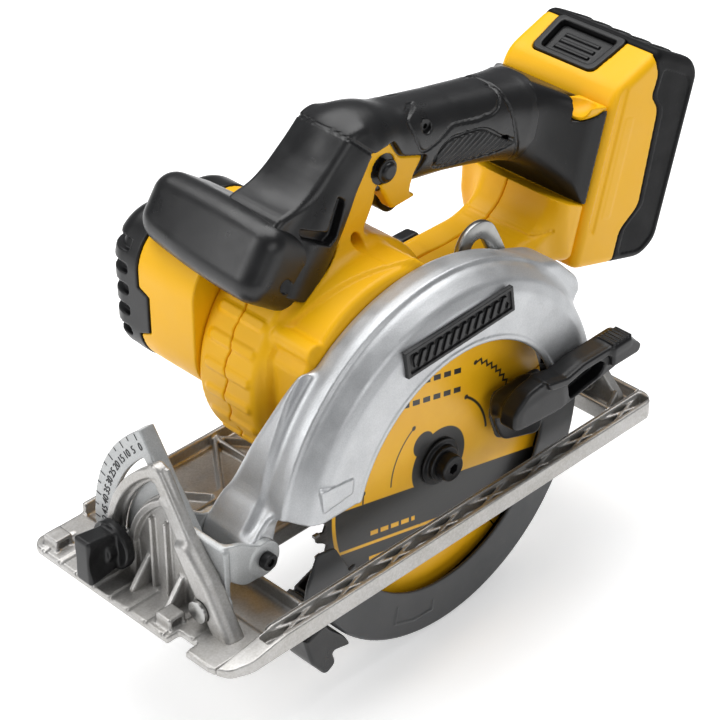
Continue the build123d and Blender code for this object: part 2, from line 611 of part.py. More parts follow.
def make_flanges():
    inner = tube_y(0, ARBOR_Z, 18.0, 6.0, -4.2, -BLADE_PLATE / 2)
    outer = tube_y(0, ARBOR_Z, 18.0, 3.2, 1.2, 3.4)
    outer += tube_y(0, ARBOR_Z, 18.0, 12.0, BLADE_PLATE / 2, 1.3)
    return inner, outer


def make_blade_bolt():
    head = hex_y(0, ARBOR_Z, 13, 3.4, 8.4)
    washer = rod_y(0, ARBOR_Z, 9.5, 3.4, 4.8)
    socket = hex_y(0, ARBOR_Z, 5, 5.5, 9)
    return head + washer + rod_y(0, ARBOR_Z, 3.0, -13.5, 3.5) - socket


def make_gear(teeth, phase, x, z, bore, hub):
    body = flat(gear_sketch(teeth, phase), GEAR_Y0, GEAR_Y1)
    gear = Pos(x, 0, z) * body
    gear += rod_y(x, z, hub, GEAR_Y0 - 0.6, GEAR_Y1 + 0.6)
    return gear - rod_y(x, z, bore, -100, 20)


def gear_phases():
    """Tooth directions that let the three gears mesh."""
    spindle = MESH_ONE
    idler = MESH_ONE + 180 + 180 / IDLER_TEETH
    lag = (MESH_TWO - idler) % (360 / IDLER_TEETH)
    pinion = MESH_TWO + 180 + lag * IDLER_PITCH / PINION_PITCH + 180 / PINION_TEETH
    return spindle, idler, pinion


# ---- gear case and motor ------------------------------------------------------------
def oval_case(grow):
    """Outline of the gear case: round the spindle gear, the idler and the pinion."""
    small = Pos(0, ARBOR_Z) * Circle(15.3 + grow)
    large = Pos(IDLER_X, IDLER_Z) * Circle(IDLER_PITCH + 2.0 + grow)
    motor = Pos(MOTOR_X, MOTOR_Z) * Circle(9.0 + grow)
    return small + large + motor


def make_gear_case():
    """Cast box behind the guard that holds the gears and both spindle bearings."""
    case = flat(oval_case(2.6), GEAR_Y0 - 9, GUARD_BACK)
    case += rod_y(0, ARBOR_Z, NOSE_R - FIT, GUARD_BACK - 1, LOWER_RIGHT + LOWER_WALL + 0.4)
    case -= flat(oval_case(0), GEAR_Y0 - 1.2, GEAR_Y1 + 1.2)
    case -= rod_y(0, ARBOR_Z, 11.0, GEAR_Y1 - 1, -6)
    case -= rod_y(0, ARBOR_Z, 8.0, GEAR_Y0 - 8, GEAR_Y0 + 1)
    case -= rod_y(IDLER_X, IDLER_Z, 4.0, GEAR_Y0 - 6, GEAR_Y1 + 6)
    case -= rod_y(MOTOR_X, MOTOR_Z, 8.0, GEAR_Y0 - 12, GEAR_Y0 + 1)
    return case


def bearing(x, z, outer, bore, y0, y1):
    return tube_y(x, z, outer, bore + FIT / 2, y0, y1)


def housing_round(radius, y0, y1):
    return rod_y(COLLAR_X, COLLAR_Z, radius, y0, y1)


def squircle(grow):
    """Rounded box of the motor barrel and the vent cap."""
    corner = 24.0 + grow
    size = 78.0 + 2 * grow
    return Pos(42, 99) * RectangleRounded(size, size, corner)


def make_motor_barrel():
    barrel = flat(squircle(0), BARREL_END, COLLAR_RIGHT - 0.05)
    barrel -= flat(squircle(-3.0), BARREL_END - 1, COLLAR_RIGHT - 3)
    return barrel - rod_y(MOTOR_X, MOTOR_Z, 30.0, COLLAR_RIGHT - 4, COLLAR_RIGHT + 1)


def make_vent_cap():
    """Domed end of the motor with air slots on its front and right end."""
    cap = flat(squircle(0.4), CAP_END, BARREL_END - 0.05)
    cap = ease(cap, cap.faces().sort_by(Axis.Y)[0].edges(), 12.0)
    cap -= flat(squircle(-3.0), CAP_END + 4, BARREL_END + 1)
    for i in range(6):
        z = 72 + i * 10.0
        cap -= box(66, 90, CAP_END - 1, CAP_END + 15, z, z + 4.2)
        cap -= box(-10, 14, CAP_END - 1, CAP_END + 15, z, z + 4.2)
    cap -= flat(Pos(42, 99) * Circle(6), CAP_END - 1, CAP_END + 1)
    return cap


# ---- handle shells ------------------------------------------------------------------
GRIP_PATH = [(46, 130), (24, 157), (-5, 172.5), (-42, 163.5), (-80, 155), (-124, 145)]


def grip_tube(half_w, half_h, first, last):
    """Oval bar swept along the handle's centre line."""
    points = [Vector(x, HANDLE_Y, z) for x, z in GRIP_PATH[first:last]]
    path = Spline(*points)
    section = Plane(origin=path @ 0, x_dir=(0, 1, 0), z_dir=path % 0) * Ellipse(half_w, half_h)
    return sweep(section, path=path)


def half_space(side):
    """Everything to the left (+1) or to the right (-1) of the parting plane."""
    if side > 0:
        return box(-300, 300, HANDLE_Y + 0.02, 200, -50, 400)
    return box(-300, 300, -300, HANDLE_Y - 0.02, -50, 400)


def trigger_web():
    """Yellow web behind the front strut, with the guard ring of the trigger."""
    return slab([(34, 122), (26, 140), (14, 160), (2, 170), (-16, 172), (-20, 158), (-35, 158),
                 (-27, 148), (-25, 143), (-31, 141), (-10, 141), (-5, 156), (8, 131), (2, 118)],
                HANDLE_Y - WEB_HALF, HANDLE_Y + WEB_HALF)


def lower_bar():
    """Beam under the fingers that joins the motor housing to the battery foot."""
    top = [(-10, 118), (-24, 98), (-34, 92), (-92, 92), (-104, 96), (-113, 106), (-124, 120)]
    foot = [pack_point(93, -1), pack_point(14, -1), pack_point(12, -10)]
    bottom = [(-96, 62), (-84, 32), (-76, 26), (-60, 26), (-52, 34), (-50, 52), (-20, 50),
              (10, 60)]
    return slab(top + foot + bottom, HANDLE_Y - WEB_HALF - 2, -24)


def battery_foot():
    """Yellow block at the rear that carries the battery rails."""
    return pack_box(14, 93, -22, -1, HANDLE_Y - 33, HANDLE_Y + 33)


def housing_shape():
    body = trigger_web() + lower_bar() + battery_foot()
    body += housing_round(COLLAR_R, COLLAR_RIGHT, COLLAR_LEFT)
    shelf = [(2, 133), (-18, 104), (-10, 60), (40, 60), (62, 118), (24, 134)]
    body += slab(shelf, HANDLE_Y - WEB_HALF, -24)
    body += slab([(2, 133), (-16, 108), (0, 92), (50, 92), (52, 112), (24, 134)], -24, -16)
    for i in range(9):
        turn = -62 + i * 14.0
        x, z = polar(COLLAR_X, COLLAR_Z, COLLAR_R, turn)
        ridge = Pos(x, -59, z) * Rot(0, -turn, 0) * Box(3.0, 30, 4.4)
        body += ridge
    return body


def housing_hollow():
    """Space inside the shells for the motor, the gear case, the switch and the wires."""
    room = housing_round(COLLAR_R - 4.0, COLLAR_RIGHT + 4, GEAR_Y0 - 10)
    room += flat(squircle(-3.2), COLLAR_RIGHT - 1, COLLAR_RIGHT + 8)
    room += flat(oval_case(2.9), GEAR_Y0 - 12, 0)
    return room


def make_housings():
    shape = housing_shape() - housing_hollow()
    shape -= grip_tube(GRIP_W + 0.05, GRIP_H + 0.05, 0, len(GRIP_PATH))
    shape -= trigger_pocket()
    shape -= rod_y(-7.5, 164, 4.6 + CLEAR, -100, 0)
    shape -= fairing_block(0.05)
    shape -= rod_y(*clamp_point(), 4.0, -100, 0)
    for x, z in SHELL_SCREWS:
        shape -= rod_y(x, z, 2.0, HANDLE_Y - 30, HANDLE_Y + WEB_HALF + 1)
        shape -= rod_y(x, z, 3.6, HANDLE_Y + 8, 0)
    return shape & half_space(1), shape & half_space(-1)


SHELL_SCREWS = [(12, 135), (-104, 78), (-40, 72)]
GRIP_SCREWS = [(-36, 175), (-88, 148)]


def make_shell_screws():
    """Long screws that draw the two housing shells together."""
    screws = []
    for x, z in SHELL_SCREWS:
        screw = rod_y(x, z, 2.0, HANDLE_Y - 14, HANDLE_Y + 8.2)
        screw += rod_y(x, z, 3.5, HANDLE_Y + 8.2, HANDLE_Y + 11)
        screws.append(screw - hex_y(x, z, 2.6, HANDLE_Y + 9.5, HANDLE_Y + 12))
    return screws


def make_grip_screws():
    screws = []
    for x, z in GRIP_SCREWS:
        screw = rod_y(x, z, 3.3, HANDLE_Y + 12.5, HANDLE_Y + 15)
        screws.append(screw - hex_y(x, z, 2.6, HANDLE_Y + 13.8, HANDLE_Y + 16))
    return screws


def trigger_pocket():
    return box(-34, -10, HANDLE_Y - 9, HANDLE_Y + 9, 128, 168)


def make_grip():
    """Black soft handle: strut, nose and grip in one, hollow for switch and wires."""
    outer = grip_tube(GRIP_W, GRIP_H, 0, len(GRIP_PATH))
    inner = grip_tube(GRIP_W - 4, GRIP_H - 4, 0, len(GRIP_PATH))
    shape = outer - inner - trigger_pocket() - rod_y(-7.5, 164, 4.6 + CLEAR, -100, 0)
    shape -= flat(front_bar_sketch(0.2), FRONT_BAR_Y0 - 1, FRONT_BAR_Y1 + 0.2)
    shape -= housing_round(COLLAR_R + 2.6, -100, 0)
    for x, z in GRIP_SCREWS:
        shape -= rod_y(x, z, 3.4, HANDLE_Y, 0)
    shape -= fairing_block(0.05)
    return shape


def fairing_block(grow):
    """Tapered block where the grip meets the battery foot."""
    outline = [(94.5, -1 + grow), (34, -1 + grow), (22, -12), (30, -22 - grow), (94.5, -26 - grow)]
    return pack_slab(outline, HANDLE_Y - 32 - grow, HANDLE_Y + 32 + grow)


def make_fairing():
    block = fairing_block(0)
    block -= pack_box(40, 85, -19, 0, HANDLE_Y - 26, HANDLE_Y + 26)
    return block


def front_bar_sketch(grow):
    return Pos(58, 142) * Rot(0, 0, -35) * RectangleRounded(40 + grow, 37 + grow, 17)


def make_aux_handle():
    """Rounded black bar across the front for the second hand."""
    bar = flat(front_bar_sketch(0), FRONT_BAR_Y0, FRONT_BAR_Y1)
    bar = ease(bar, bar.edges(), 9.0)
    bar -= rod_y(61, 134, 3.2, -60, 0)
    bar -= housing_round(COLLAR_R + 2.6, -100, 0)
    return bar - flat(squircle(0.5), -160, -60)


def clamp_point():
    return strap_angle(STRAP_R, 2.5)


# ---- switch, trigger, lever ---------------------------------------------------------
def make_trigger():
    blade = slab([(-30, 156), (-29.5, 140), (-27, 133), (-20, 131), (-14, 137), (-12, 156)],
                 HANDLE_Y - 8, HANDLE_Y + 8)
    return ease(blade, blade.edges().filter_by(Axis.Y), 2.0)


def make_lock_off():
    pin = rod_y(-7.5, 164, 4.6, HANDLE_Y - 21, HANDLE_Y + 21)
    return pin


def make_switch():
    return box(-58, -31, HANDLE_Y - 9, HANDLE_Y + 9, 152, 170)


def make_depth_lever():
    """Lever on the right of the beam; it tightens the clamp bolt on the strap."""
    x, z = clamp_point()
    y1 = HANDLE_Y - WEB_HALF - 2 - CLEAR
    hub = rod_y(x, z, 9, y1 - 8, y1)
    arm = slab([(x - 6, z), (x + 6, z), (x + 9, z + 50), (x - 3, z + 50)], y1 - 7, y1 - 1)
    tip = slab([(x - 4, z + 46), (x + 10, z + 46), (x + 10, z + 54), (x - 4, z + 54)],
               y1 - 12, y1 - 1)
    return hub + arm + tip - rod_y(x, z, 3.0 + FIT, y1 - 20, y1 + 1)


def make_clamp_bolt():
    x, z = clamp_point()
    shank = rod_y(x, z, 3.0, HANDLE_Y - WEB_HALF - 10, STRAP_Y1 + 1.5)
    head = rod_y(x, z, 8.0, STRAP_Y1 + CLEAR, STRAP_Y1 + 2.2)
    return shank + head


# ---- battery ------------------------------------------------------------------------
PACK_SIDE = [(7, 4), (7, 0), (96, 0), (104, 4), (122, 30), (121, 36), (115, 62), (108, 68),
             (16, 68), (7, 58)]


def rail_channel(grow):
    """Space of the two battery rails."""
    neck = pack_box(0, 88 + grow, -1 - grow, 5, HANDLE_Y - 14 - grow, HANDLE_Y + 14 + grow)
    head = pack_box(0, 88 + grow, 3 - grow, 8 + grow, HANDLE_Y - 19 - grow, HANDLE_Y + 19 + grow)
    return neck + head


def battery_body():
    return pack_slab(PACK_SIDE, HANDLE_Y - BATTERY_HALF, HANDLE_Y + BATTERY_HALF)


def battery_front():
    """The half of the pack next to the saw, cut along a stepped line."""
    step = [(0, -5), (130, -5), (130, 33), (104, 32), (97, 32), (90, 40), (38, 43), (26, 32),
            (0, 32)]
    return pack_slab(step, HANDLE_Y - 60, HANDLE_Y + 60)


def latch_block(grow, deep):
    """Release button in the sloped top of the pack."""
    middle_u, middle_v = 113.0, 17.0
    run_u, run_v = 0.569, 0.822          # along the slope
    up_u, up_v = 0.822, -0.569           # out of the slope
    half, proud = 11.0, 1.0
    corners = []
    for along, out in ((-1, -1), (1, -1), (1, 1), (-1, 1)):
        reach = along * (half + grow)
        lift = proud if out > 0 else -deep
        corners.append((middle_u + reach * run_u + lift * up_u,
                        middle_v + reach * run_v + lift * up_v))
    return pack_slab(corners, LATCH_Y - 19 - grow, LATCH_Y + 19 + grow)


def make_battery():
    body = battery_body() - rail_channel(CLEAR) - latch_block(CLEAR, LATCH_DEEP + LATCH_PRESS + CLEAR)
    body = ease(body, body.edges().filter_by(Axis.Y).sort_by(Axis.X)[:2], 4.0)
    cells_room = pack_box(14, 88, 12, 62, HANDLE_Y - 33, HANDLE_Y + 33)
    body -= cells_room
    front = body & battery_front()
    rear = body - battery_front()
    return front, rear


def make_cells():
    """Ten round cells in two layers, lying across the pack."""
    cells = []
    for row in range(5):
        for layer in range(2):
            x, z = pack_point(24 + row * 13.4, 25 + layer * 21)
            cells.append(rod_y(x, z, 6.6, HANDLE_Y - 32, HANDLE_Y + 32))
    return cells


# ---- write the nodes ----------------------------------------------------------------
def write_shoe_and_frame():
    save("shoe", make_shoe())
    save("bevel_pins", *make_bevel_pins())
    save("bevel_bracket", make_bevel_bracket())
    save("depth_strap", make_depth_strap())
    save("depth_hinge_bolt", make_hinge_bolt())
    save("depth_hinge_nut", make_hinge_nut())
    save("bevel_clamp_bolt", make_bevel_bolt())
    save("bevel_washer", make_bevel_washer())
    save("bevel_knob", make_bevel_knob())


def write_guards():
    save("upper_guard", make_upper_guard())
    save("lower_guard", make_lower_guard())
    save("guard_lever", make_guard_lever())
    save("guard_bumper", make_guard_bumper())
    save("guard_badge", make_guard_badge())
    save("guard_spring", make_guard_spring())


def write_arbor():
    save("saw_blade", make_blade())
    save("carbide_tips", *make_carbide_tips())
    save("spindle", make_spindle())
    inner, outer = make_flanges()
    save("inner_flange", inner)
    save("outer_flange", outer)
    save("blade_bolt", make_blade_bolt())


def write_gears():
    spindle, idler, pinion = gear_phases()
    save("spindle_gear", make_gear(SPINDLE_TEETH, spindle, 0, ARBOR_Z, 5.0, 7.5))
    save("idler_gear", make_gear(IDLER_TEETH, idler, IDLER_X, IDLER_Z, 4.0 + FIT, 8.0))
    save("idler_shaft", rod_y(IDLER_X, IDLER_Z, 4.0, GEAR_Y0 - 5.5, GEAR_Y1 + 5.5))
    save("motor_pinion", make_gear(PINION_TEETH, pinion, MOTOR_X, MOTOR_Z, 2.5, 3.9))
    save("gear_case", make_gear_case())
    save("spindle_bearing_blade_side", bearing(0, ARBOR_Z, 11.0, 5.0, -16, -9.6))
    save("spindle_bearing_far_side", bearing(0, ARBOR_Z, 8.0, 5.0, GEAR_Y0 - 8, GEAR_Y0 - 2.2))


def write_motor():
    save("motor_shaft", rod_y(MOTOR_X, MOTOR_Z, 2.5, -133, GEAR_Y1 + 0.6))
    save("armature", tube_y(MOTOR_X, MOTOR_Z, 15.5, 2.5, -104, -66))
    save("commutator", tube_y(MOTOR_X, MOTOR_Z, 9.0, 2.5, -118, -106))
    save("magnet_can", tube_y(MOTOR_X, MOTOR_Z, 22.0, 16.2, -106, -62))
    save("motor_bearing_front", bearing(MOTOR_X, MOTOR_Z, 8.0, 2.5, GEAR_Y0 - 9, GEAR_Y0 - 3))
    save("motor_bearing_rear", bearing(MOTOR_X, MOTOR_Z, 8.0, 2.5, -130, -125))
    fan = tube_y(MOTOR_X, MOTOR_Z, 8, 2.5, -60, -50)
    fan += tube_y(MOTOR_X, MOTOR_Z, 23, 7.9, -52, -50)
    for i in range(12):
        turn = i * 30.0
        x, z = polar(MOTOR_X, MOTOR_Z, 15, turn)
        fan += Pos(x, -55, z) * Rot(0, -turn, 0) * Box(15.5, 8, 1.6)
    save("cooling_fan", fan)
    holder = tube_y(MOTOR_X, MOTOR_Z, 24.0, 14.5, -117, -108)
    save("brush_holder", holder)
    brush = box(MOTOR_X + 9.2, MOTOR_X + 14.0, -115, -109, MOTOR_Z - 3, MOTOR_Z + 3)
    other = box(MOTOR_X - 14.0, MOTOR_X - 9.2, -115, -109, MOTOR_Z - 3, MOTOR_Z + 3)
    save("carbon_brushes", brush, other)
    save("motor_barrel", make_motor_barrel())
    save("vent_cap", make_vent_cap())


def write_handle():
    left, right = make_housings()
    save("housing_left", left)
    save("housing_right", right)
    save("main_grip", make_grip())
    save("rear_fairing", make_fairing())
    save("shell_screws", *make_shell_screws())
    save("grip_screws", *make_grip_screws())
    save("front_handle", make_aux_handle())
    save("trigger", make_trigger())
    save("lock_off_button", make_lock_off())
    save("switch_module", make_switch())
    save("depth_lever", make_depth_lever())
    save("depth_clamp_bolt", make_clamp_bolt())


def write_battery():
    front, rear = make_battery()
    save("battery_cover", front)
    save("battery_case", rear)
    save("battery_cells", *make_cells())
    save("battery_latch", latch_block(0, LATCH_DEEP))
    save("terminal_block", rail_channel(0))


write_shoe_and_frame()
write_guards()
write_arbor()
write_gears()
write_motor()
write_handle()
write_battery()
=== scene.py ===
"""Looks of the cordless circular saw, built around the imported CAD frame.

All shapes are in millimetres until they become meshes. +X is the cutting direction,
+Y is the blade side and +Z is up; the arbor is above the origin.
Soft-edged castings and mouldings are made as distance fields: a function gives each point's
distance to the surface, and mould() turns it into a mesh of small quads.
"""
import functools
import math

import bpy
import numpy as np
from mathutils import Matrix, Vector


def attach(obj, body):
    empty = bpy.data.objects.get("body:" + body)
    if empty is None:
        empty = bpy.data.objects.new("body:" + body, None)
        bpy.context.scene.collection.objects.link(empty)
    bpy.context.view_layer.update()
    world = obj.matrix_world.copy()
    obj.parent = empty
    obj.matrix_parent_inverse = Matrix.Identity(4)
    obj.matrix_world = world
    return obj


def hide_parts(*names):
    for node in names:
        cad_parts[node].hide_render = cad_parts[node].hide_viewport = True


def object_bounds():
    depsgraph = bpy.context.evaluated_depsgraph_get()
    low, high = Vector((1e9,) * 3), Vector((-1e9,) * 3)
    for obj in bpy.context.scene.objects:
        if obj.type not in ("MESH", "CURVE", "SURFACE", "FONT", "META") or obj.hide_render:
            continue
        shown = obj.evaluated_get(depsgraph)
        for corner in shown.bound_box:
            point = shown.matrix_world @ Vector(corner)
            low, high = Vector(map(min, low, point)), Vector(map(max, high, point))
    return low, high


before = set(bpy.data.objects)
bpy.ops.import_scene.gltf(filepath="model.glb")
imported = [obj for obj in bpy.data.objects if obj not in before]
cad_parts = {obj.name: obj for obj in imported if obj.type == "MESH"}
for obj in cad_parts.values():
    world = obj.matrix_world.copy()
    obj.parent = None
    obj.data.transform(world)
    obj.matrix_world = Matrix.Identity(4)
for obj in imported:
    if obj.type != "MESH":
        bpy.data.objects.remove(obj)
CAD_LO, CAD_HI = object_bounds()
MM = 0.001
FINE = 1.0        # coarser meshes while trying things

# ---- dimensions shared with the CAD part ---------------------------------------------
ARBOR_Z = 25.4
HANDLE_Y = -60.0
COLLAR_X, COLLAR_Z, COLLAR_R = 21.0, 78.0, 58.5
COLLAR_LEFT, COLLAR_RIGHT = -36.0, -79.0
BARREL_END, CAP_END = -118.0, -141.0
MOTOR_X, MOTOR_Z = 34.0, 88.0
BATTERY_X, BATTERY_Z = -120.0, 60.0
BATTERY_TILT = math.radians(16.0)
BATTERY_HALF = 37.5                       # half the pack's width
BUTTON_Y = -64.5
CLAMP_X, CLAMP_Z = -67.83, 36.35          # bolt of the depth clamp and its lever
PIVOT_Y, PIVOT_Z = -8.0, 14.0
HINGE_X, HINGE_Z = 112.0, 28.5
BEVEL_SLOT_R = 58.0
BEVEL_START = math.radians(6.5)
KNOB_Y = PIVOT_Y - BEVEL_SLOT_R * math.cos(BEVEL_START)
KNOB_Z = PIVOT_Z + BEVEL_SLOT_R * math.sin(BEVEL_START)
LOCK_X, LOCK_Z = -7.5, 164.0
SCOOP_Y = HANDLE_Y + 26.0                 # middle of the dish beside the handle's flare
GRIP_SCREWS = [(-36, 175), (-88, 148)]
FAR = 200.0                               # past the end of every cut that goes right through


# ---- distance fields -----------------------------------------------------------------
class Space:
    """A regular grid of points; x, y and z broadcast against each other."""

    def __init__(self, lo, hi, step):
        self.lo, self.step = np.array(lo, float), step
        axes = [np.arange(a, b + step, step, dtype=np.float32) for a, b in zip(lo, hi)]
        self.x = axes[0].reshape(-1, 1, 1)
        self.y = axes[1].reshape(1, -1, 1)
        self.z = axes[2].reshape(1, 1, -1)
        self.shape = tuple(len(a) for a in axes)


def join(a, b, k=0.0):
    """Union; k is the width of the fillet between the two."""
    if k <= 0:
        return np.minimum(a, b)
    h = np.maximum(k - np.abs(a - b), 0) / k
    return np.minimum(a, b) - h * h * k / 4


def both(a, b, k=0.0):
    """What a and b share; k rounds the new edges."""
    return -join(-a, -b, k)


def cut(a, b, k=0.0):
    """a with b taken away; k rounds the new edges."""
    return -join(-a, b, k)


def groove(a, b, deep):
    """Shape b sunk into the surface of a by the given depth."""
    return np.maximum(a, -np.maximum(b, -a - deep))


def outline(px, py, points):
    """Signed distance to a closed outline in two coordinates."""
    best, inside = None, None
    for i, (ax, ay) in enumerate(points):
        bx, by = points[(i + 1) % len(points)]
        ex, ey = bx - ax, by - ay
        wx, wy = px - ax, py - ay
        t = np.clip((wx * ex + wy * ey) / (ex * ex + ey * ey), 0, 1)
        d = (wx - ex * t) ** 2 + (wy - ey * t) ** 2
        crosses = ((ay > py) != (by > py)) & (wx < ex * wy / (ey or 1e-9))
        best = d if best is None else np.minimum(best, d)
        inside = crosses if inside is None else inside ^ crosses
    return np.where(inside, -1, 1) * np.sqrt(best)


def eased(points, radius):
    """The outline with its corners rounded by about the given radius."""
    steps = 5
    out = []
    count = len(points)
    for i in range(count):
        here = np.array(points[i], float)
        before = np.array(points[i - 1], float) - here
        after = np.array(points[(i + 1) % count], float) - here
        reach = min(radius, 0.45 * np.linalg.norm(before), 0.45 * np.linalg.norm(after))
        start = here + before / np.linalg.norm(before) * reach
        end = here + after / np.linalg.norm(after) * reach
        for j in range(steps + 1):
            t = j / steps
            out.append(tuple((1 - t) ** 2 * start + 2 * t * (1 - t) * here + t * t * end))
    return out


def rounded(px, py, half_x, half_y, r):
    """Distance to a rectangle with rounded corners."""
    qx, qy = np.abs(px) - half_x + r, np.abs(py) - half_y + r
    return np.hypot(np.maximum(qx, 0), np.maximum(qy, 0)) + np.minimum(np.maximum(qx, qy), 0) - r


def segment(px, py, a, b, width):
    """Distance to a straight strip from a to b, in two coordinates."""
    ex, ey = b[0] - a[0], b[1] - a[1]
    t = np.clip(((px - a[0]) * ex + (py - a[1]) * ey) / (ex * ex + ey * ey), 0, 1)
    return np.hypot(px - a[0] - ex * t, py - a[1] - ey * t) - width / 2


def thick(flat, along, lo, hi, r=0.0):
    """A flat shape given thickness from lo to hi, its edges rounded to r."""
    side = np.abs(along - (lo + hi) / 2) - (hi - lo) / 2 + r
    flat = flat + r
    return np.minimum(np.maximum(flat, side), 0) + np.hypot(
        np.maximum(flat, 0), np.maximum(side, 0)) - r


def slab(s, points, y0, y1, r=1.0, corner=0.0):
    """Outline in X and Z, thick from y0 to y1."""
    if corner:
        points = eased(points, corner)
    return thick(outline(s.x, s.z, points), s.y, y0, y1, r)


def plank(s, points, x0, x1, r, corner):
    """Outline in Y and Z, thick from x0 to x1."""
    return thick(outline(s.y, s.z, eased(points, corner)), s.x, x0, x1, r)


def block(s, x0, x1, y0, y1, z0, z1, r=0.5):
    """Box with all edges rounded to r."""
    qx = np.abs(s.x - (x0 + x1) / 2) - (x1 - x0) / 2 + r
    qy = np.abs(s.y - (y0 + y1) / 2) - (y1 - y0) / 2 + r
    qz = np.abs(s.z - (z0 + z1) / 2) - (z1 - z0) / 2 + r
    far = np.sqrt(np.maximum(qx, 0) ** 2 + np.maximum(qy, 0) ** 2 + np.maximum(qz, 0) ** 2)
    return far + np.minimum(np.maximum(np.maximum(qx, qy), qz), 0) - r


def rod_y(s, x, z, radius, y0, y1, r=0.5):
    """Rod across the saw, its edges rounded to r."""
    return thick(np.hypot(s.x - x, s.z - z) - radius, s.y, y0, y1, r)


def rod_x(s, y, z, radius, x0, x1, r=0.5):
    """Rod along the cutting direction, its edges rounded to r."""
    return thick(np.hypot(s.y - y, s.z - z) - radius, s.x, x0, x1, r)


def turned(s, profile, x, z):
    """Ring about the cross axis at x, z from an outline of (radius, y)."""
    return outline(np.hypot(s.x - x, s.z - z), s.y, profile)


def arbor_r(s):
    """Distance from the arbor's axis."""
    return np.hypot(s.x, s.z - ARBOR_Z)


def off_handle(s):
    """Distance to either side of the handle's middle plane."""
    return np.abs(s.y - HANDLE_Y)


def bar_along(s, path, half_y, half_n):
    """Bar in the handle's plane, swept along stations in X and Z.

    path is a list of (x, z); half_y and half_n hold its half sizes at each station."""
    power = 2.5                           # section between an ellipse and a rectangle
    stations = np.array(path, float)
    x, z = s.x[:, 0, :], s.z[0, :, :]
    x, z = np.broadcast_arrays(x, z)
    nearest = np.full(x.shape, 1e9, np.float32)
    along = np.zeros(x.shape, np.float32)
    aside = np.zeros(x.shape, np.float32)
    beyond = np.full(x.shape, -20.0, np.float32)
    last = len(stations) - 2
    for i in range(last + 1):
        a, b = stations[i], stations[i + 1]
        e = b - a
        length = np.linalg.norm(e)
        e = e / length
        wx, wz = x - a[0], z - a[1]
        t = wx * e[0] + wz * e[1]
        over = np.full_like(t, -20.0)
        if i == 0:
            over = np.maximum(over, -t)
        if i == last:
            over = np.maximum(over, t - length)
        tc = np.clip(t, 0, length)
        d = np.hypot(wx - e[0] * tc, wz - e[1] * tc)
        side = wz * e[0] - wx * e[1]
        closer = d < nearest
        nearest = np.where(closer, d, nearest)
        along = np.where(closer, i + tc / length, along)
        aside = np.where(closer, np.where(over > 0, np.abs(side), d), aside)
        beyond = np.where(closer, over, beyond)
    marks = np.arange(len(stations))
    a = np.interp(along, marks, half_y)[:, None, :].astype(np.float32)
    b = np.interp(along, marks, half_n)[:, None, :].astype(np.float32)
    aside = np.maximum(aside, 0.05)[:, None, :]
    reach = ((off_handle(s) / a) ** power + (aside / b) ** power) ** (1 / power)
    return both((reach - 1) * np.minimum(a, b), beyond[:, None, :], 1.5)


def spline(points, per):
    """Smooth curve through the points, as a finer list."""
    p = [np.array(q, float) for q in points]
    p = [2 * p[0] - p[1]] + p + [2 * p[-1] - p[-2]]
    out = []
    for i in range(1, len(p) - 2):
        for j in range(per):
            t = j / per
            out.append(0.5 * (2 * p[i] + (p[i + 1] - p[i - 1]) * t
                              + (2 * p[i - 1] - 5 * p[i] + 4 * p[i + 1] - p[i + 2]) * t * t
                              + (3 * p[i] - p[i - 1] - 3 * p[i + 1] + p[i + 2]) * t ** 3))
    return out + [p[-2]]


# the twelve edges of a cell, as pairs of its eight corners
EDGES = [(a, b) for a in range(8) for b in range(a + 1, 8) if bin(a ^ b).count("1") == 1]


def surface(values, lo, step):
    """Vertices, quads and normals of the zero surface of a sampled field."""
    inside = values < 0
    n = np.array(values.shape) - 1
    corner = [(c >> 2 & 1, c >> 1 & 1, c & 1) for c in range(8)]
    count = np.zeros(n, np.int8)
    for dx, dy, dz in corner:
        count += inside[dx:n[0] + dx, dy:n[1] + dy, dz:n[2] + dz]
    cells = np.argwhere((count > 0) & (count < 8))
    got = [values[cells[:, 0] + c[0], cells[:, 1] + c[1], cells[:, 2] + c[2]] for c in corner]
    total = np.zeros((len(cells), 3))
    hits = np.zeros((len(cells), 1))
    for a, b in EDGES:
        crossing = (got[a] < 0) != (got[b] < 0)
        t = np.where(crossing, got[a] / np.where(crossing, got[a] - got[b], 1), 0)
        pa, pb = np.array(corner[a], float), np.array(corner[b], float)
        total += np.where(crossing[:, None], pa + t[:, None] * (pb - pa), 0)
        hits += crossing[:, None]
    local = total / hits
    gradient = np.zeros((len(cells), 3))
    for c in range(8):
        weight = np.ones(len(cells))
        for axis in range(3):
            weight = weight * (local[:, axis] if corner[c][axis] else 1 - local[:, axis])
        for axis in range(3):
            bit = 4 >> axis
            near = got[c ^ bit] if c & bit else got[c]
            far = got[c] if c & bit else got[c ^ bit]
            gradient[:, axis] += weight * (far - near)
    normals = gradient / np.maximum(np.linalg.norm(gradient, axis=1, keepdims=True), 1e-9)
    verts = (cells + local) * step + lo
    index = np.full(n, -1, np.int64)
    index[cells[:, 0], cells[:, 1], cells[:, 2]] = np.arange(len(cells))
    quads = []
    for axis in range(3):
        u, v = (axis + 1) % 3, (axis + 2) % 3
        first = [slice(1, -1)] * 3
        first[axis] = slice(0, -1)
        second = list(first)
        second[axis] = slice(1, None)
        a, b = inside[tuple(first)], inside[tuple(second)]
        at = np.argwhere(a != b)
        offset = np.ones(3, int)
        offset[axis] = 0
        at = at + offset
        leaves = inside[at[:, 0], at[:, 1], at[:, 2]]
        ring = []
        for du, dv in ((1, 1), (0, 1), (0, 0), (1, 0)):
            q = at.copy()
            q[:, u] -= du
            q[:, v] -= dv
            ring.append(index[q[:, 0], q[:, 1], q[:, 2]])
        ring = np.stack(ring, 1)
        ring[~leaves] = ring[~leaves][:, ::-1]
        quads.append(ring)
    return verts, np.concatenate(quads), normals


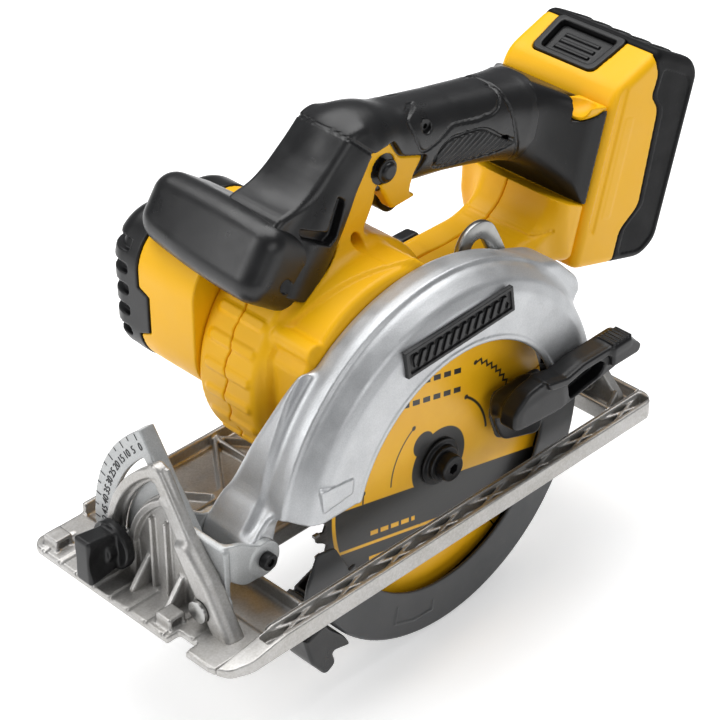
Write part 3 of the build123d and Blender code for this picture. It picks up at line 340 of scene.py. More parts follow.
def mesh_piece(name, verts, quads, normals=None):
    """New object from vertices in millimetres and rows of four vertex numbers."""
    mesh = bpy.data.meshes.new(name)
    mesh.vertices.add(len(verts))
    mesh.vertices.foreach_set("co", np.asarray(verts * MM, np.float32).ravel())
    mesh.loops.add(quads.size)
    mesh.loops.foreach_set("vertex_index", quads.astype(np.int32).ravel())
    mesh.polygons.add(len(quads))
    starts = np.arange(0, quads.size, quads.shape[1], dtype=np.int32)
    mesh.polygons.foreach_set("loop_start", starts)
    mesh.update(calc_edges=True)
    mesh.polygons.foreach_set("use_smooth", np.ones(len(quads), bool))
    if normals is not None:
        mesh.normals_split_custom_set_from_vertices(normals)
    piece = bpy.data.objects.new(name, mesh)
    bpy.context.scene.collection.objects.link(piece)
    return piece


def mould(name, lo, hi, step, field, body, material, stands_for=()):
    """Make a piece from a distance field inside the box lo to hi."""
    step = step * FINE
    space = Space(lo, hi, step)
    values = np.array(np.broadcast_to(field(space), space.shape), np.float32)
    for axis in range(3):                 # keep the surface closed at the box's faces
        edge = [slice(None)] * 3
        for end in (0, -1):
            edge[axis] = end
            values[tuple(edge)] = np.maximum(values[tuple(edge)], 0.05)
    verts, quads, normals = surface(values, space.lo, step)
    piece = mesh_piece(name, verts, quads, normals)
    piece.data.materials.append(material)
    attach(piece, body)
    if stands_for:
        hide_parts(*stands_for)
    return piece


def pack_point(u, v):
    """Point of the battery frame: u up along the pack, v back through it."""
    return (BATTERY_X - u * math.sin(BATTERY_TILT) - v * math.cos(BATTERY_TILT),
            BATTERY_Z + u * math.cos(BATTERY_TILT) - v * math.sin(BATTERY_TILT))


def pack_points(points):
    """Points of the battery frame, in X and Z."""
    return [pack_point(u, v) for u, v in points]


def pack_uv(s):
    """The battery frame's u and v at every point of the grid."""
    dx, dz = s.x - BATTERY_X, s.z - BATTERY_Z
    return (-dx * math.sin(BATTERY_TILT) + dz * math.cos(BATTERY_TILT),
            -dx * math.cos(BATTERY_TILT) - dz * math.sin(BATTERY_TILT))


def pack_slab(s, points, lo, hi, r=0.0, corner=0.0):
    """Outline in u and v, thick from lo to hi away from the pack's middle plane."""
    if corner:
        points = eased(points, corner)
    return thick(outline(*pack_uv(s), points), off_handle(s), lo, hi, r)


# ---- materials -----------------------------------------------------------------------
class Nodes:
    """Short way to write a node tree."""

    def __init__(self, name):
        self.material = bpy.data.materials.new(name)
        self.material.use_nodes = True
        self.tree = self.material.node_tree
        self.tree.nodes.clear()
        self.shader = self.add("ShaderNodeBsdfPrincipled")
        out = self.add("ShaderNodeOutputMaterial")
        self.link(self.shader.outputs[0], out.inputs["Surface"])
        self.where = self.add("ShaderNodeTexCoord").outputs["Object"]

    def add(self, kind, **settings):
        """New node with the given settings."""
        node = self.tree.nodes.new(kind)
        for key, value in settings.items():
            setattr(node, key, value)
        return node

    def link(self, a, b):
        """Join output a to input b."""
        self.tree.links.new(a, b)

    def put(self, socket, value):
        """Feed an input with a node's output or with a plain value."""
        if isinstance(value, bpy.types.NodeSocket):
            self.link(value, socket)
        else:
            socket.default_value = value

    def math(self, kind, a, b=0.0):
        """One sum on one or two values."""
        node = self.add("ShaderNodeMath", operation=kind)
        for socket, value in zip(node.inputs, (a, b)):
            self.put(socket, value)
        return node.outputs[0]

    def noise(self, scale, detail=3.0, rough=0.55, stretch=None):
        """Cloudy value from 0 to 1, stretched along X, Y and Z if asked."""
        node = self.add("ShaderNodeTexNoise")
        node.inputs["Scale"].default_value = scale
        node.inputs["Detail"].default_value = detail
        node.inputs["Roughness"].default_value = rough
        source = self.where
        if stretch:
            mapping = self.add("ShaderNodeMapping")
            mapping.inputs["Scale"].default_value = stretch
            self.link(source, mapping.inputs["Vector"])
            source = mapping.outputs[0]
        self.link(source, node.inputs["Vector"])
        return node.outputs["Fac"]

    def span(self, value, a, b, lo=0.0, hi=1.0):
        """Map value from a..b to lo..hi, clamped."""
        node = self.add("ShaderNodeMapRange")
        self.put(node.inputs["Value"], value)
        for socket, number in zip(("From Min", "From Max", "To Min", "To Max"), (a, b, lo, hi)):
            node.inputs[socket].default_value = number
        return node.outputs[0]

    def mix(self, factor, a, b):
        """Colour a where factor is 0 and b where it is 1."""
        node = self.add("ShaderNodeMix", data_type="RGBA")
        self.put(node.inputs[0], factor)
        self.put(node.inputs[6], a)
        self.put(node.inputs[7], b)
        return node.outputs[2]

    def bump(self, height, distance, strength):
        """Raise the surface by the given height, at most distance metres."""
        node = self.add("ShaderNodeBump")
        node.inputs["Strength"].default_value = strength
        node.inputs["Distance"].default_value = distance
        self.link(height, node.inputs["Height"])
        self.link(node.outputs[0], self.shader.inputs["Normal"])

    def look(self, **inputs):
        """Set the shader's inputs; an underscore stands for a space in their names."""
        for name, value in inputs.items():
            self.put(self.shader.inputs[name.replace("_", " ")], value)

    def split(self):
        """X, Y and Z of the shaded point, in metres."""
        node = self.add("ShaderNodeSeparateXYZ")
        self.link(self.where, node.inputs[0])
        return node.outputs


def rgb(r, g, b):
    """Linear colour, fully opaque."""
    return (r, g, b, 1.0)


DUST = rgb(0.55, 0.52, 0.48)
BRIGHT = rgb(0.80, 0.80, 0.81)
SOLID = (1.0, 1.0, 1.0)                   # no stretch: castings and pressings


def plastic(name, colour, dark, rough, coat=0.0, gloss=0.5):
    """Moulded plastic: fine spark-eroded grain, slight flow marks and handling shine."""
    n = Nodes(name)
    flow = n.noise(14.0, 4.0)
    dust = n.noise(420.0, 5.0, 0.7)
    tint = n.mix(n.span(flow, 0.35, 0.7, 0.0, 0.55), colour, dark)
    tint = n.mix(n.span(dust, 0.62, 0.80, 0.0, 0.05), tint, DUST)
    shine = n.span(n.noise(60.0), 0.3, 0.7, rough - 0.06, rough + 0.07)
    n.look(Base_Color=tint, Roughness=shine, Specular_IOR_Level=gloss,
           Coat_Weight=coat, Coat_Roughness=0.25)
    n.bump(n.noise(2600.0, 2.0), 0.00004, 0.8)
    return n.material


def cast_metal(name, colour, dark, metal, rough=0.40, grain=0.00008, speck=1500.0):
    """Die-cast metal: sand grain, faint stains and brighter rubbed patches."""
    n = Nodes(name)
    stain = n.noise(26.0, 6.0, 0.65)
    sand = n.noise(speck, 3.0, 0.6)
    tint = n.mix(n.span(stain, 0.38, 0.66), colour, dark)
    tint = n.mix(n.span(sand, 0.35, 0.72, 0.0, 0.25), tint, BRIGHT)
    rubbed = n.span(n.noise(90.0, 4.0), 0.3, 0.7, rough - 0.07, rough + 0.1)
    n.look(Base_Color=tint, Roughness=rubbed, Metallic=metal)
    n.bump(sand, grain, 0.9)
    return n.material


def machined(name, colour, rough, metal=1.0, stretch=(1.0, 40.0, 1.0)):
    """Turned or rolled steel: fine lines one way, slight tarnish."""
    n = Nodes(name)
    lines = n.noise(60.0, 6.0, 0.7, stretch)
    tarnish = n.span(n.noise(35.0, 5.0), 0.35, 0.7)
    dull = tuple(c * 0.72 for c in colour[:3]) + (1.0,)
    n.look(Base_Color=n.mix(tarnish, colour, dull), Metallic=metal,
           Roughness=n.span(lines, 0.3, 0.7, rough - 0.06, rough + 0.12))
    n.bump(lines, 0.00002, 0.5)
    return n.material


def rubber(name, colour, rough):
    """Soft overmould: open pores and a slight mottle."""
    n = Nodes(name)
    mottle = n.span(n.noise(38.0, 4.0), 0.4, 0.7, 0.0, 0.6)
    light = tuple(c * 1.5 + 0.002 for c in colour[:3]) + (1.0,)
    n.look(Base_Color=n.mix(mottle, colour, light),
           Roughness=n.span(n.noise(70.0), 0.3, 0.7, rough - 0.08, rough + 0.06))
    n.bump(n.noise(1900.0, 3.0, 0.6), 0.00005, 0.9)
    return n.material


# ---- palette -------------------------------------------------------------------------
YELLOW = plastic("yellow_shell", rgb(0.93, 0.49, 0.002), rgb(0.89, 0.45, 0.002), 0.42, gloss=0.30)
BLACK = plastic("black_shell", rgb(0.007, 0.007, 0.0075), rgb(0.010, 0.010, 0.011), 0.34,
                gloss=0.36)
PACK_BLACK = plastic("pack_black", rgb(0.006, 0.006, 0.0065), rgb(0.008, 0.008, 0.009), 0.55,
                     gloss=0.14)
SOFT = rubber("soft_grip", rgb(0.007, 0.007, 0.0075), 0.34)
GUARD = cast_metal("cast_guard", rgb(0.50, 0.51, 0.52), rgb(0.45, 0.46, 0.47), 0.7)
BRACKET = cast_metal("bracket_paint", rgb(0.43, 0.44, 0.44), rgb(0.38, 0.39, 0.39), 0.6, 0.42)
SHOE = cast_metal("shoe_casting", rgb(0.43, 0.42, 0.405), rgb(0.36, 0.345, 0.32), 0.8,
                  grain=0.00003, speck=900.0)
DARK = plastic("lower_guard_paint", rgb(0.045, 0.046, 0.048), rgb(0.036, 0.037, 0.039), 0.45)
ZINC = machined("zinc_steel", rgb(0.42, 0.42, 0.41), 0.30, stretch=SOLID)
OXIDE = machined("black_oxide", rgb(0.022, 0.022, 0.023), 0.36, 0.6, SOLID)
TURNED = machined("turned_steel", rgb(0.50, 0.50, 0.51), 0.25)
CARBIDE = machined("carbide", rgb(0.36, 0.36, 0.37), 0.3)
COPPER = machined("copper_winding", rgb(0.70, 0.36, 0.16), 0.35)
SLEEVE = plastic("cell_sleeve", rgb(0.05, 0.20, 0.42), rgb(0.04, 0.16, 0.36), 0.25, coat=0.4)


def blade_paint():
    """Yellow coating with a black lower panel, swept laser slots and a bare toothed rim."""
    n = Nodes("blade_paint")
    x, _, z = n.split()
    z = n.math("SUBTRACT", z, ARBOR_Z * MM)
    edge = 0.00025                        # half the width of a printed edge, metres

    def below(value, limit):
        return n.span(value, limit - edge, limit + edge, 1.0, 0.0)

    def above(value, limit):
        return n.span(value, limit - edge, limit + edge)

    def all_of(*masks):
        return functools.reduce(lambda a, b: n.math("MULTIPLY", a, b), masks)

    def any_of(*masks):
        return functools.reduce(lambda a, b: n.math("MAXIMUM", a, b), masks)

    def without(mask):
        return n.math("SUBTRACT", 1.0, mask)

    def far_from(px, pz):
        """Distance to a point of the blade, in metres."""
        dx, dz = n.math("SUBTRACT", x, px), n.math("SUBTRACT", z, pz)
        return n.math("SQRT", n.math("ADD", n.math("MULTIPLY", dx, dx), n.math("MULTIPLY", dz, dz)))

    radius = far_from(0.0, 0.0)
    angle = n.math("ARCTAN2", z, x)

    def sector(a0, a1):
        """One inside the angles a0 to a1, in degrees."""
        middle, half = math.radians((a0 + a1) / 2), math.radians((a1 - a0) / 2)
        away = without(n.math("COSINE", n.math("SUBTRACT", angle, middle)))
        limit = 1.0 - math.cos(half)
        return n.span(away, limit - 0.002, limit + 0.002, 1.0, 0.0)

    def arc_line(arc_r, a0, a1, width, waves=0.0):
        """Slot concentric with the arbor, with a round hole at its end."""
        wave = n.math("MULTIPLY", n.math("PINGPONG", n.math("MULTIPLY", angle, 22.0), 1.0), waves)
        off = n.math("ABSOLUTE", n.math("SUBTRACT", n.math("SUBTRACT", radius, wave), arc_r * MM))
        end = math.radians(a1)
        hole = below(far_from(arc_r * MM * math.cos(end), arc_r * MM * math.sin(end)), 0.0013)
        return any_of(all_of(below(off, width * MM), sector(a0, a1)), hole)

    # lean is the height above a line through the arbor that tilts across the blade
    slope = math.radians(13.4)
    lean = n.math("SUBTRACT", n.math("MULTIPLY", z, math.cos(slope)),
                  n.math("MULTIPLY", x, math.sin(slope)))
    upper = below(lean, -0.0107)
    body = any_of(all_of(upper, above(lean, -0.0420)),
                  all_of(upper, above(x, 0.047), below(radius, 0.0712)))
    stripe = all_of(below(lean, -0.0335), above(lean, -0.0352))
    swoosh = all_of(above(x, 0.0505), below(radius, 0.0712), above(radius, 0.0690))
    slots = any_of(arc_line(32.4, 2.0, 58.0, 0.45), arc_line(33.4, 175.0, 124.0, 0.7),
                   arc_line(32.8, 246.0, 292.0, 0.45), arc_line(51.0, 165.0, 119.0, 0.8, 0.0022),
                   arc_line(51.0, -2.0, 8.0, 0.5))
    ring = any_of(all_of(below(radius, 0.0182), above(radius, 0.0040)),
                  below(far_from(0.0105, 0.0150), 0.0068))
    # plain dashes and bars where a maker's print would be
    rows = n.math("PINGPONG", n.math("MULTIPLY", lean, 190.0), 1.0)
    dashes = n.math("SINE", n.math("MULTIPLY", x, 900.0))
    ticks = all_of(above(rows, 0.72), above(dashes, -0.55), above(lean, 0.0335),
                   below(lean, 0.0535), above(x, -0.016), below(x, 0.024))
    sides = any_of(all_of(above(x, 0.016), below(x, 0.046)), all_of(below(x, -0.028), above(x, -0.058)))
    bars = all_of(above(lean, -0.0300), below(lean, -0.0275), above(dashes, -0.7), sides)
    panel = all_of(body, without(any_of(stripe, swoosh)), without(bars))
    black = any_of(panel, slots, ticks, ring)
    rim = above(radius, 0.0742)
    scuff = n.noise(120.0, 6.0, 0.7, (1.0, 1.0, 5.0))
    yellow = n.mix(n.span(n.noise(40.0, 4.0), 0.3, 0.7), rgb(0.93, 0.50, 0.010),
                   rgb(0.86, 0.43, 0.006))
    ink = n.mix(n.span(scuff, 0.4, 0.75, 0.0, 0.4), rgb(0.018, 0.018, 0.018),
                rgb(0.05, 0.048, 0.042))
    steel = n.mix(n.span(scuff, 0.35, 0.7), rgb(0.045, 0.044, 0.043), rgb(0.11, 0.10, 0.095))
    n.look(Base_Color=n.mix(rim, n.mix(black, yellow, ink), steel),
           Metallic=n.math("MULTIPLY", rim, 0.7), Roughness=n.span(scuff, 0.3, 0.7, 0.30, 0.42))
    n.bump(n.math("SINE", n.math("MULTIPLY", radius, 9000.0)), 0.000012, 0.35)
    return n.material


BLADE = blade_paint()

CAD_LOOKS = {
    YELLOW: ("housing_left", "housing_right", "motor_barrel", "battery_cover"),
    BLACK: ("bevel_knob", "guard_lever", "guard_badge", "cooling_fan", "brush_holder",
            "vent_cap", "rear_fairing", "trigger", "lock_off_button", "switch_module",
            "depth_lever", "battery_case", "battery_latch", "terminal_block", "carbon_brushes"),
    SOFT: ("guard_bumper", "main_grip", "front_handle"),
    GUARD: ("upper_guard", "gear_case"),
    BRACKET: ("bevel_bracket",),
    SHOE: ("shoe",),
    DARK: ("lower_guard", "magnet_can"),
    ZINC: ("bevel_pins", "depth_strap", "depth_hinge_nut", "bevel_clamp_bolt", "bevel_washer",
           "depth_clamp_bolt", "guard_spring"),
    OXIDE: ("depth_hinge_bolt", "inner_flange", "outer_flange", "blade_bolt", "shell_screws",
            "grip_screws"),
    TURNED: ("spindle", "spindle_gear", "idler_gear", "idler_shaft", "motor_pinion",
             "spindle_bearing_blade_side", "spindle_bearing_far_side", "motor_shaft",
             "motor_bearing_front", "motor_bearing_rear"),
    CARBIDE: ("carbide_tips",),
    COPPER: ("armature", "commutator"),
    SLEEVE: ("battery_cells",),
    BLADE: ("saw_blade",),
}
for look, names in CAD_LOOKS.items():
    for node_name in names:
        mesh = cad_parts[node_name].data
        mesh.materials.clear()
        mesh.materials.append(look)


def ease_edges(node):
    """Break the sharp edges of a CAD node that is shown as it is."""
    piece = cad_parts[node]
    weld = piece.modifiers.new("weld", "WELD")
    weld.merge_threshold = 0.000002
    bevel = piece.modifiers.new("bevel", "BEVEL")
    bevel.width = 0.45 * MM
    bevel.segments = 2
    bevel.limit_method = "ANGLE"
    bevel.angle_limit = math.radians(32.0)
    bevel.harden_normals = True
    for polygon in piece.data.polygons:
        polygon.use_smooth = True


for node_name in ("depth_strap", "depth_hinge_nut", "bevel_pins", "bevel_washer"):
    ease_edges(node_name)


# ---- stage ---------------------------------------------------------------------------
def camera():
    """The photograph's view, found by fitting the blade's circle and the sole's edges."""
    right = Vector((-0.7077, 0.7065, -0.0042))
    up = Vector((-0.3992, -0.3949, 0.8275))
    ahead = Vector((-0.5829, -0.5873, -0.5615))
    data = bpy.data.cameras.new("camera")
    data.lens = 118.8
    data.sensor_width = 36.0
    data.clip_start, data.clip_end = 0.05, 50.0
    lens = bpy.data.objects.new("camera", data)
    bpy.context.scene.collection.objects.link(lens)
    matrix = Matrix((right, up, -ahead)).transposed().to_4x4()
    matrix.translation = Vector((669.2, 622.0, 702.7)) * MM
    lens.matrix_world = matrix
    bpy.context.scene.camera = lens


def lamp(name, place, target, size, power):
    """Soft rectangular light at a place, turned towards the target."""
    data = bpy.data.lights.new(name, "AREA")
    data.shape = "RECTANGLE"
    data.size, data.size_y = size
    data.energy = power
    light = bpy.data.objects.new(name, data)
    bpy.context.scene.collection.objects.link(light)
    light.location = place
    aim = Vector(target) - Vector(place)
    light.rotation_mode = "QUATERNION"
    light.rotation_quaternion = aim.to_track_quat("-Z", "Y")


def stage():
    """Pale floor under the lowest point, a dim white world and three soft lights."""
    lowest = CAD_LO[2] - 0.0004
    side = 3.0
    corners = [(-side, -side, lowest), (side, -side, lowest), (side, side, lowest),
               (-side, side, lowest)]
    floor = mesh_piece("floor", np.array(corners) / MM, np.array([[0, 1, 2, 3]]))
    n = Nodes("floor_paper")
    n.look(Base_Color=n.mix(n.noise(3.0), rgb(0.93, 0.93, 0.93), rgb(0.95, 0.95, 0.95)),
           Roughness=0.9, Emission_Color=rgb(1.0, 1.0, 1.0), Emission_Strength=0.42)
    floor.data.materials.append(n.material)
    world = bpy.data.worlds.new("studio")
    world.use_nodes = True
    colour, strength = world.node_tree.nodes["Background"].inputs[:2]
    colour.default_value = rgb(0.95, 0.97, 1.0)
    strength.default_value = 0.20
    bpy.context.scene.world = world
    centre = (0.0, -0.04, 0.06)
    lamp("overhead", (-0.3, -0.4, 1.5), centre, (2.0, 1.3), 29.0)
    lamp("left", (1.3, -0.7, 0.9), centre, (0.6, 1.2), 10.0)
    lamp("front", (0.3, 1.5, 0.9), centre, (1.2, 0.8), 5.5)
    bpy.context.scene.view_settings.view_transform = "Standard"


camera()
stage()


# ---- handles -------------------------------------------------------------------------
# stations of the grip's centre line from front to back, and its half sizes at each of them
GRIP = [(52, 122), (43, 137), (31, 151), (16, 162.5), (0, 168.5), (-16, 167.5), (-34, 164),
        (-56, 160), (-78, 155.5), (-96, 151.5), (-104, 149.5), (-110, 148)]
GRIP_HALF_Y = [25, 23.5, 22, 20.5, 19.5, 18.5, 18, 18, 18.5, 19.5, 20.5, 21]
GRIP_HALF_N = [21, 20, 19.5, 19.5, 20, 20, 20, 19.5, 20, 21, 22, 22.6]
# side outlines: the broad front leg, the yellow web in it and the ribbed patch for the palm
STRUT = [(60, 118), (46, 124), (34, 125), (30, 129), (23, 144), (15, 161), (9, 172), (1, 180),
         (2, 190), (11, 190), (24, 179), (35, 170), (46, 165.5), (60, 163.5), (64, 150)]
WEB = [(34, 122), (30, 130), (23, 144), (14, 161), (4, 177), (-12, 177.5), (-18, 167), (-35, 161),
       (-27, 151), (-25, 144), (-31, 141), (-13, 140), (-8, 150), (-4, 157), (-1, 148),
       (4.5, 138), (8, 131), (2, 118)]
GRIP_PATCH = [(-38, 153), (-43, 161), (-50, 164), (-62, 163), (-74, 161), (-87, 151), (-97, 145.5),
              (-86, 143), (-70, 145), (-50, 148)]


def collar_r(s):
    """Distance from the axis of the motor's round collar."""
    return np.hypot(s.x - COLLAR_X, s.z - COLLAR_Z)


def grip_bar(s):
    """The round part of the handle, from the front leg to the pack."""
    path = spline(GRIP, 5)
    marks = np.linspace(0, len(GRIP) - 1, len(path))
    half_y, half_n = (np.interp(marks, range(len(GRIP)), row) for row in (GRIP_HALF_Y, GRIP_HALF_N))
    return bar_along(s, path, half_y, half_n)


def web_shape(s):
    """Yellow web under the nose, with the front half of the trigger ring."""
    return slab(s, WEB, -76.3, -43.7, 1.8, 2.5)


def trigger_room(s):
    """Hollow of the trigger guard, through the whole handle."""
    return slab(s, [(-34, 128), (-12, 128), (-10, 150), (-12, 168), (-34, 168)], -69, -51, 1.0)


def grip_skin(s):
    """Outside of the whole black handle: bar, broad front leg and the nose above them."""
    leg = slab(s, STRUT, COLLAR_RIGHT, -43.4, 3.0, 6.0)
    nose = np.sqrt(((s.x - 1) / 1.15) ** 2 + (s.y - HANDLE_Y) ** 2
                   + ((s.z - 174.0) / 1.05) ** 2) - 19.3
    return join(join(grip_bar(s), leg, 5.0), nose, 7.0)


def grip_field(s):
    """The black handle with its seams, screw holes and the pocket on its front leg."""
    body = grip_skin(s)
    body = cut(body, thick(collar_r(s) - 53.5, s.y, -FAR, 0), 0.5)
    # the yellow web and trigger ring stand on both sides of the black handle
    web = outline(s.x, s.z, eased(WEB, 2.5)) - 0.4
    side = off_handle(s)
    body = cut(body, thick(web, side, 15.2, 60.0), 0.6)
    body = cut(body, trigger_room(s), 0.8)
    # seam across the leg below the nose and the end of the soft sleeve
    for x, z, lean in ((12.0, 186.0, 0.76), (-95.0, 152.0, 1.36)):
        plane = (s.x - x) * math.sin(lean) - (s.z - z) * math.cos(lean)
        near = np.hypot(s.x - x, s.z - z) - 34.0
        body = groove(body, np.maximum(np.abs(plane) - 0.8, near), 0.7)
    ring = outline(s.x, s.z, eased([(-31, 163), (-24, 182), (-40, 184), (-72, 178), (-92, 173),
                                    (-84, 165), (-70, 166), (-52, 170), (-44, 166)], 5))
    body = groove(body, thick(np.abs(ring) - 0.75, side, 5, 60), 0.6)
    patch = outline(s.x, s.z, eased(GRIP_PATCH, 5))
    body = groove(body, thick(np.abs(patch + 0.4) - 0.8, side, 8, 60), 0.8)
    for x, z in GRIP_SCREWS:
        body = cut(body, rod_y(s, x, z, 3.1, -50, -30), 0.6)
    pocket = slab(s, [(25.5, 165), (21.5, 161), (28.5, 145), (33, 143), (48, 152), (47.5, 156),
                      (34, 150.5)], -43.6, -30, 0.6, 1.2)
    return cut(body, pocket, 0.8)


def grip_ribs_field(s):
    """Slanted ribs under the palm, both sides."""
    skin = grip_bar(s)
    lean = math.radians(62)
    across = (s.x + 70) * math.cos(lean) + (s.z - 150) * math.sin(lean)
    wave = 0.5 * np.sin(across * 2 * math.pi / 2.9)
    patch = outline(s.x, s.z, eased(GRIP_PATCH, 5)) + 1.0
    body = np.maximum(skin - 0.25 - wave, -skin - 1.5)
    return both(both(body, patch, 0.8), 9.0 - off_handle(s))


mould("grip_body", (-124, -92, 100), (82, -34, 200), 0.78, grip_field, "saw_body", SOFT,
      ["main_grip"])
mould("grip_ribs", (-100, -82, 138), (-35, -38, 167), 0.5, grip_ribs_field, "saw_body", SOFT)


def front_bar_field(s):
    """Loaf-shaped bar across the front: flat upper face, domed ends, fuller at the blade side."""
    turn = math.radians(-35)
    dx, dz = s.x - 58.5, s.z - 139.5 + 0.06 * (s.y - HANDLE_Y)
    a = dx * math.cos(turn) - dz * math.sin(turn)
    b = dx * math.sin(turn) + dz * math.cos(turn)
    along = (s.y - COLLAR_RIGHT) / 41.0
    shrink = 1.6 * along ** 2 - 1.2 * along
    body = rounded(a, b, 21.0 - shrink, 19.0 - shrink, 11.0)
    body = both(body, np.abs(s.y + 78.8) - 41.6, 12.0)
    body = cut(body, rod_y(s, 61, 134, 3.3, -52, -20), 1.0)
    return cut(body, thick(collar_r(s) - 57.0, s.y, -FAR, 0), 0.5)


mould("front_handle_body", (34, -121, 114), (85, -36, 166), 0.7, front_bar_field, "saw_body",
      SOFT, ["front_handle"])


def bell(s):
    """Flare from the grip's end to the pack's face, as an oval that grows along the pack axis."""
    u, v = pack_uv(s)
    t = np.clip((v + 38.0) / 32.0, 0, 1.15)
    swell = t * t
    low, high = 59.5 - 15.5 * swell, 104.5 - 7.5 * t
    half_u, half_y = (high - low) / 2, 20.5 + 17.0 * swell
    power = 2.5 + 5.0 * t
    reach = ((np.abs(u - (low + high) / 2) / half_u) ** power
             + (off_handle(s) / half_y) ** power) ** (1 / power)
    body = both((reach - 1) * 20.0, np.maximum(v + 1.5, -38.0 - v), 1.0)
    facet = 0.938 * (off_handle(s) - 33.0 - 0.368 * (v + 11.0))
    return both(body, facet, 0.8)


# ---- yellow housing ------------------------------------------------------------------
def shell_seam(s):
    """Where the left shell steps down to the gear cover, as Y; it slants across the top."""
    turn = np.degrees(np.arctan2(s.z - ARBOR_Z, s.x))
    return -38.0 + np.clip((turn - 53.0) / 37.0, 0, 1.2) * 21.0


def gear_cover(s):
    """Smooth shell between the collar and the upper guard."""
    drum = rod_y(s, COLLAR_X, COLLAR_Z, 51.0, -60, -16.5, 2.0)
    crown = thick(arbor_r(s) - 104.0, s.y, -76, -16.5, 2.0)
    sector = outline(s.x, s.z, eased([(4, 136), (-18, 103), (-14, 60), (50, 60), (72, 100),
                                      (62, 114), (46, 140)], 4.0))
    cover = join(drum, both(crown, sector, 3.0), 14.0)
    return cover + 1.7 * np.clip((s.y - shell_seam(s)) / 1.8, 0, 1)


def collar_ridges(s):
    """Grip ridges across the collar's front, each a rounded bar along Y."""
    ridges = []
    for i in range(8):
        angle = math.radians(-62 + i * 14.0)
        cx, cz = COLLAR_X + 58.0 * math.cos(angle), COLLAR_Z + 58.0 * math.sin(angle)
        out = (s.x - cx) * math.cos(angle) + (s.z - cz) * math.sin(angle)
        across = -(s.x - cx) * math.sin(angle) + (s.z - cz) * math.cos(angle)
        footprint = np.hypot(np.maximum(np.abs(s.y + 59.0) - 12.5, 0), across) - 2.2
        ridges.append(thick(footprint, out, -3.0, 1.7, 0.8))
    return ridges


def housing_field(s):
    """Outside of both shells together: collar, beam, foot behind the pack, cover and web."""
    left, right = COLLAR_LEFT, COLLAR_RIGHT
    ring = [(20, left), (52, left), (COLLAR_R, left - 6), (COLLAR_R, right), (20, right)]
    collar = turned(s, eased(ring, 2.5), COLLAR_X, COLLAR_Z)
    for ridge in collar_ridges(s):
        collar = join(collar, ridge, 2.2)
    bar = [(-12, 118), (-24, 98), (-36, 92), (-90, 92), (-102, 96), (-112, 106), (-122, 122)]
    bar += pack_points([(93, -1.3), (14, -1.3), (12, -12)])
    bar += [(-98, 62), (-86, 34), (-76, 26), (-60, 26), (-52, 36), (-48, 54), (-20, 50), (10, 62)]
    beam = slab(s, bar, right, -27.0, 7.0, 7.0)
    foot = pack_slab(s, [(52, -1.3), (13, -1.3), (15, -8), (26, -14), (52, -20)], -35.0, 35.0,
                     4.0, 4.0)
    body = join(join(collar, beam, 10.0), foot, 10.0)
    body = join(join(body, gear_cover(s), 3.0), web_shape(s), 5.0)
    return join(body, rod_y(s, 64, 109, 5.0, -40, -15.5, 1.0), 2.5)


def housing_cuts(s, body):
    """Take the handle's seat, the rooms inside and the screw holes out of the shells."""
    keep = thick(outline(s.x, s.z, eased(WEB, 2.5)), off_handle(s), 14.8, 40)
    handle = np.maximum(grip_skin(s) - 0.12, -both(web_shape(s), keep))
    body = cut(body, both(handle, 53.7 - collar_r(s)), 0.8)
    body = cut(body, trigger_room(s), 1.0)
    body = cut(body, rod_y(s, LOCK_X, LOCK_Z, 7.4, -FAR, 0), 0.8)
    body = cut(body, turned(s, [(0, -44), (0, -75), (50, -75), (50, -44)], COLLAR_X, COLLAR_Z))
    body = cut(body, turned(s, [(0, -80), (0, -70), (33, -70), (33, -80)], MOTOR_X, MOTOR_Z))
    # the gear case fills three overlapping rounds: spindle, idler and motor shaft
    case = join(arbor_r(s) - 18.6, np.hypot(s.x - 9.7, s.z - 65.5) - 32.6)
    case = join(case, np.hypot(s.x - MOTOR_X, s.z - MOTOR_Z) - 12.2)
    body = cut(body, thick(case, s.y, -46, 0))
    # room for the black flare at the handle's end
    u, v = pack_uv(s)
    below_flare = u - 44.3 + 0.18 * (v + 10)
    body = both(body, np.minimum(np.minimum(below_flare, v + 39.0), bell(s) + 1.0), 0.6)
    # seam along the lower beam
    line = thick(np.abs(s.z - 91.0 + 0.06 * (s.x + 50)) - 0.6, s.x, -110, -30)
    body = groove(body, line, 0.7)
    for x, z in ((12, 135), (-104, 78), (-40, 72)):
        body = cut(body, rod_y(s, x, z, 3.3, -52, 0, 0.4), 0.6)
    body = cut(body, rod_y(s, CLAMP_X, CLAMP_Z, 9.5, -28, 0), 0.8)
    # the swept circle of the depth lever stays free on the far side
    body = cut(body, rod_y(s, CLAMP_X, CLAMP_Z, 57.0, -FAR, -79.6), 1.5)
    return cut(body, rod_y(s, CLAMP_X, CLAMP_Z, 4.2, -FAR, 0), 0.3)


def housing_half(side):
    """Field of one shell: side is +1 for the left one and -1 for the right one."""
    def field(s):
        body = housing_cuts(s, housing_field(s))
        # the two shells meet on a line that wanders a little round the collar
        turn = np.arctan2(s.z - COLLAR_Z, s.x - COLLAR_X)
        near = np.clip((s.x - 40) / 12, 0, 1)
        wander = near * 1.1 * np.sin(turn * 22.0)
        return both(body, side * (HANDLE_Y + wander - s.y) + 0.12, 0.7)
    return field


mould("housing_left_body", (-150, -61, 16), (90, -12, 184), 1.0, housing_half(1), "saw_body",
      YELLOW, ["housing_left"])
mould("housing_right_body", (-150, -95, 16), (90, -58, 184), 1.0, housing_half(-1), "saw_body",
      YELLOW, ["housing_right"])


# ---- motor barrel and cap ------------------------------------------------------------
def squircle(s, grow=0.0):
    """Distance to the rounded square of the motor barrel, in X and Z."""
    half = 39.0 + grow
    return rounded(s.x - 42.0, s.z - 99.0, half, half, 24.0 + grow)


